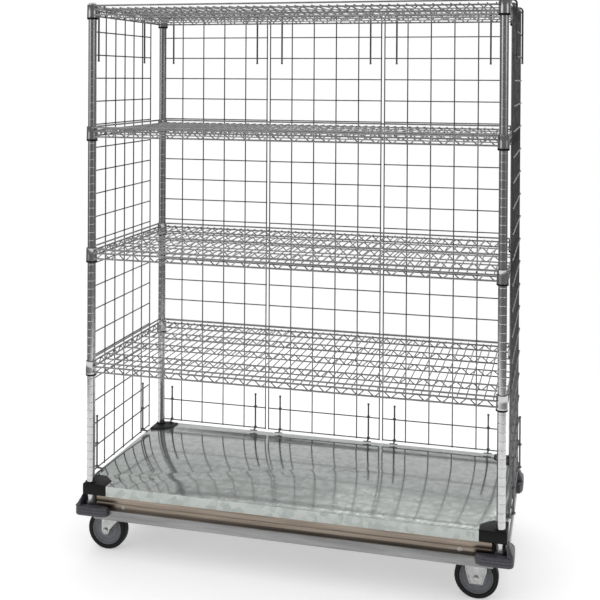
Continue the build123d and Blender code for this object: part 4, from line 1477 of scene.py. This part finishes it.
# ---------------------------------------------------------------- studio
@dataclass(frozen=True)
class Studio:
    """Pale floor, soft lights and the camera.

    Args:
        camera_from_post: The camera's place from the front left post, near its top.
        ring_drop: How far that point is below the top shelf's collar.
        panels: Direction, edge and strength of each soft panel that the metal reflects.
        lights: Name, place, side in metres and power in watts of each area light.
    """

    lens: float = 61.2
    sensor: float = 36.0
    shift_y: float = -0.3567
    yaw: float = math.radians(14.91)
    pitch: float = math.radians(0.44)
    roll: float = math.radians(0.32)
    camera_from_post: tuple[float, float, float] = (1.454, -2.927, -0.183)
    ring_drop: float = 0.003
    floor_r: float = 2.4
    floor_glow: float = 0.42
    room_light: float = 0.16
    panel_blur: float = 0.12
    panels: tuple[tuple[tuple[float, float, float], float, float], ...] = (
        ((0.0, 0.0, 1.0), 0.48, 0.85),
        ((-0.8, -0.75, 0.25), 0.89, 1.0),
        ((0.95, -0.35, 0.2), 0.92, 0.7),
        ((-0.1, 0.9, 0.33), 0.74, 0.55),
    )
    lights: tuple[tuple[str, tuple[float, float, float], float, float], ...] = (
        ("key", (-2.6, -3.4, 3.6), 3.0, 16.0),
        ("fill", (3.8, -2.2, 2.6), 2.4, 7.0),
        ("back", (0.5, 3.2, 3.4), 3.0, 7.0),
    )
    light_aim: tuple[float, float, float] = (0.0, 0.0, 0.8)

    def build(self, layout: Layout) -> None:
        """Builds the stage.

        Args:
            layout: Where the posts stand.
        """
        bpy.context.scene.view_settings.view_transform = "Standard"
        self._camera(layout)
        self._floor()
        self._world()
        self._lights()

    def _camera(self, layout: Layout) -> None:
        """Places the camera at the viewing angle, from the front left post.

        Args:
            layout: Where the posts stand.
        """
        ring = layout.place(-1, -1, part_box("wire_shelf_top")[0].z - self.ring_drop)
        right = Vector((math.cos(self.yaw), math.sin(self.yaw), 0))
        level = Vector((-math.sin(self.yaw), math.cos(self.yaw), 0))
        forward = level * math.cos(self.pitch) - Vector((0, 0, math.sin(self.pitch)))
        up = right.cross(forward)
        tilted_right = right * math.cos(self.roll) + up * math.sin(self.roll)
        tilted_up = up * math.cos(self.roll) - right * math.sin(self.roll)
        data = bpy.data.cameras.new("camera")
        data.lens = self.lens
        data.sensor_width = self.sensor
        data.shift_y = self.shift_y
        camera = bpy.data.objects.new("camera", data)
        basis = Matrix((tilted_right, tilted_up, -forward)).transposed()
        camera.matrix_world = Matrix.Translation(ring + Vector(self.camera_from_post)) @ basis.to_4x4()
        bpy.context.scene.collection.objects.link(camera)
        bpy.context.scene.camera = camera

    def _floor(self) -> None:
        """Plain pale floor, as on a light table, a little larger than the shadows."""
        bm = bmesh.new()
        bmesh.ops.create_circle(bm, cap_ends=True, radius=self.floor_r, segments=96)
        mesh = bpy.data.meshes.new("floor")
        bm.to_mesh(mesh)
        bm.free()
        paint = bpy.data.materials.new("pale_floor")
        paint.use_nodes = True
        shader = paint.node_tree.nodes["Principled BSDF"]
        shader.inputs["Base Color"].default_value = (0.88, 0.88, 0.88, 1.0)
        shader.inputs["Roughness"].default_value = 0.8
        shader.inputs["Specular IOR Level"].default_value = 0.1
        shader.inputs["Emission Color"].default_value = WHITE
        shader.inputs["Emission Strength"].default_value = self.floor_glow
        mesh.materials.append(paint)
        new_object("floor", mesh)

    def _world(self) -> None:
        """White backdrop for the eye, and a darker room with soft panels for reflections."""
        world = bpy.data.worlds.new("studio")
        bpy.context.scene.world = world
        world.use_nodes = True
        tree = world.node_tree
        tree.nodes.clear()
        coords = add_node(tree, "ShaderNodeTexCoord")
        total = None
        for direction, edge, power in self.panels:
            facing = {0: coords.outputs["Generated"], 1: Vector(direction).normalized()}
            aim = add_node(tree, "ShaderNodeVectorMath", facing, operation="DOT_PRODUCT")
            fade = {
                "Value": aim.outputs["Value"],
                "From Min": edge,
                "From Max": edge + self.panel_blur,
                "To Min": self.room_light if total is None else 0.0,
                "To Max": power,
            }
            shade = add_node(tree, "ShaderNodeMapRange", fade, interpolation_type="SMOOTHSTEP")
            glow = shade.outputs["Result"]
            if total is None:
                total = glow
            else:
                both = add_node(tree, "ShaderNodeMath", {0: total, 1: glow}, operation="ADD")
                total = both.outputs["Value"]
        room = add_node(tree, "ShaderNodeBackground", {"Color": WHITE, "Strength": total})
        backdrop = add_node(tree, "ShaderNodeBackground", {"Color": WHITE})
        seen = add_node(tree, "ShaderNodeLightPath").outputs["Is Camera Ray"]
        views = {"Fac": seen, 1: room.outputs["Background"], 2: backdrop.outputs["Background"]}
        mix = add_node(tree, "ShaderNodeMixShader", views)
        add_node(tree, "ShaderNodeOutputWorld", {"Surface": mix.outputs["Shader"]})

    def _lights(self) -> None:
        """Soft area lights aimed at the truck's middle."""
        for name, place, side, power in self.lights:
            data = bpy.data.lights.new(name, "AREA")
            data.size = side
            data.energy = power
            light = bpy.data.objects.new(name, data)
            light.location = place
            aim = Vector(self.light_aim) - Vector(place)
            light.rotation_euler = aim.to_track_quat("-Z", "Y").to_euler()
            bpy.context.scene.collection.objects.link(light)


def dress_nodes(frame: dict) -> None:
    """Gives every CAD node that still shows its finish.
    """
    slots = {s["node"]: s["material_slot"] for s in frame["record"]["subparts"]}
    for name, obj in frame["nodes"].items():
        finish = FINISHES[slots[name]]
        if not obj.material_slots:
            obj.data.materials.append(finish.material())
        for slot in obj.material_slots:
            slot.material = finish.material()


def main() -> None:
    """Builds the truck's looks in order."""
    logging.basicConfig(level=logging.INFO, format="%(name)s: %(message)s")
    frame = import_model()
    joints = {j["name"]: j for j in frame["joints"]}
    layout = Layout.read()
    dress_nodes(frame)
    Studio().build(layout)
    Posts(layout).build()
    for label in SHELVES:
        WireShelf(layout, label).build()
    for label in ("left", "centre", "right"):
        node = f"panel_rear_{label}"
        low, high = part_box(node)
        MeshPanel(node, 5, 0.0, Vector(((low.x + high.x) / 2, layout.half_y, 0))).build()
    for label, sign in (("left", -1), ("right", 1)):
        MeshPanel(f"panel_{label}", 6, -sign * math.pi / 2, Vector((sign * layout.half_x, 0, 0))).build()
    for name, joint in joints.items():
        if name.startswith("latch_"):
            LatchRod(name.removeprefix("latch_").removesuffix("_turn")).build(joint)
    Deck(layout).build()
    Dolly(layout).build()
    for end in ("front", "rear"):
        Caster(f"swivel_{end}", True).build(joints)
        Caster(f"rigid_{end}", False).build(joints)
    rigid_axles(joints)


if __name__ == "__main__":
    main()
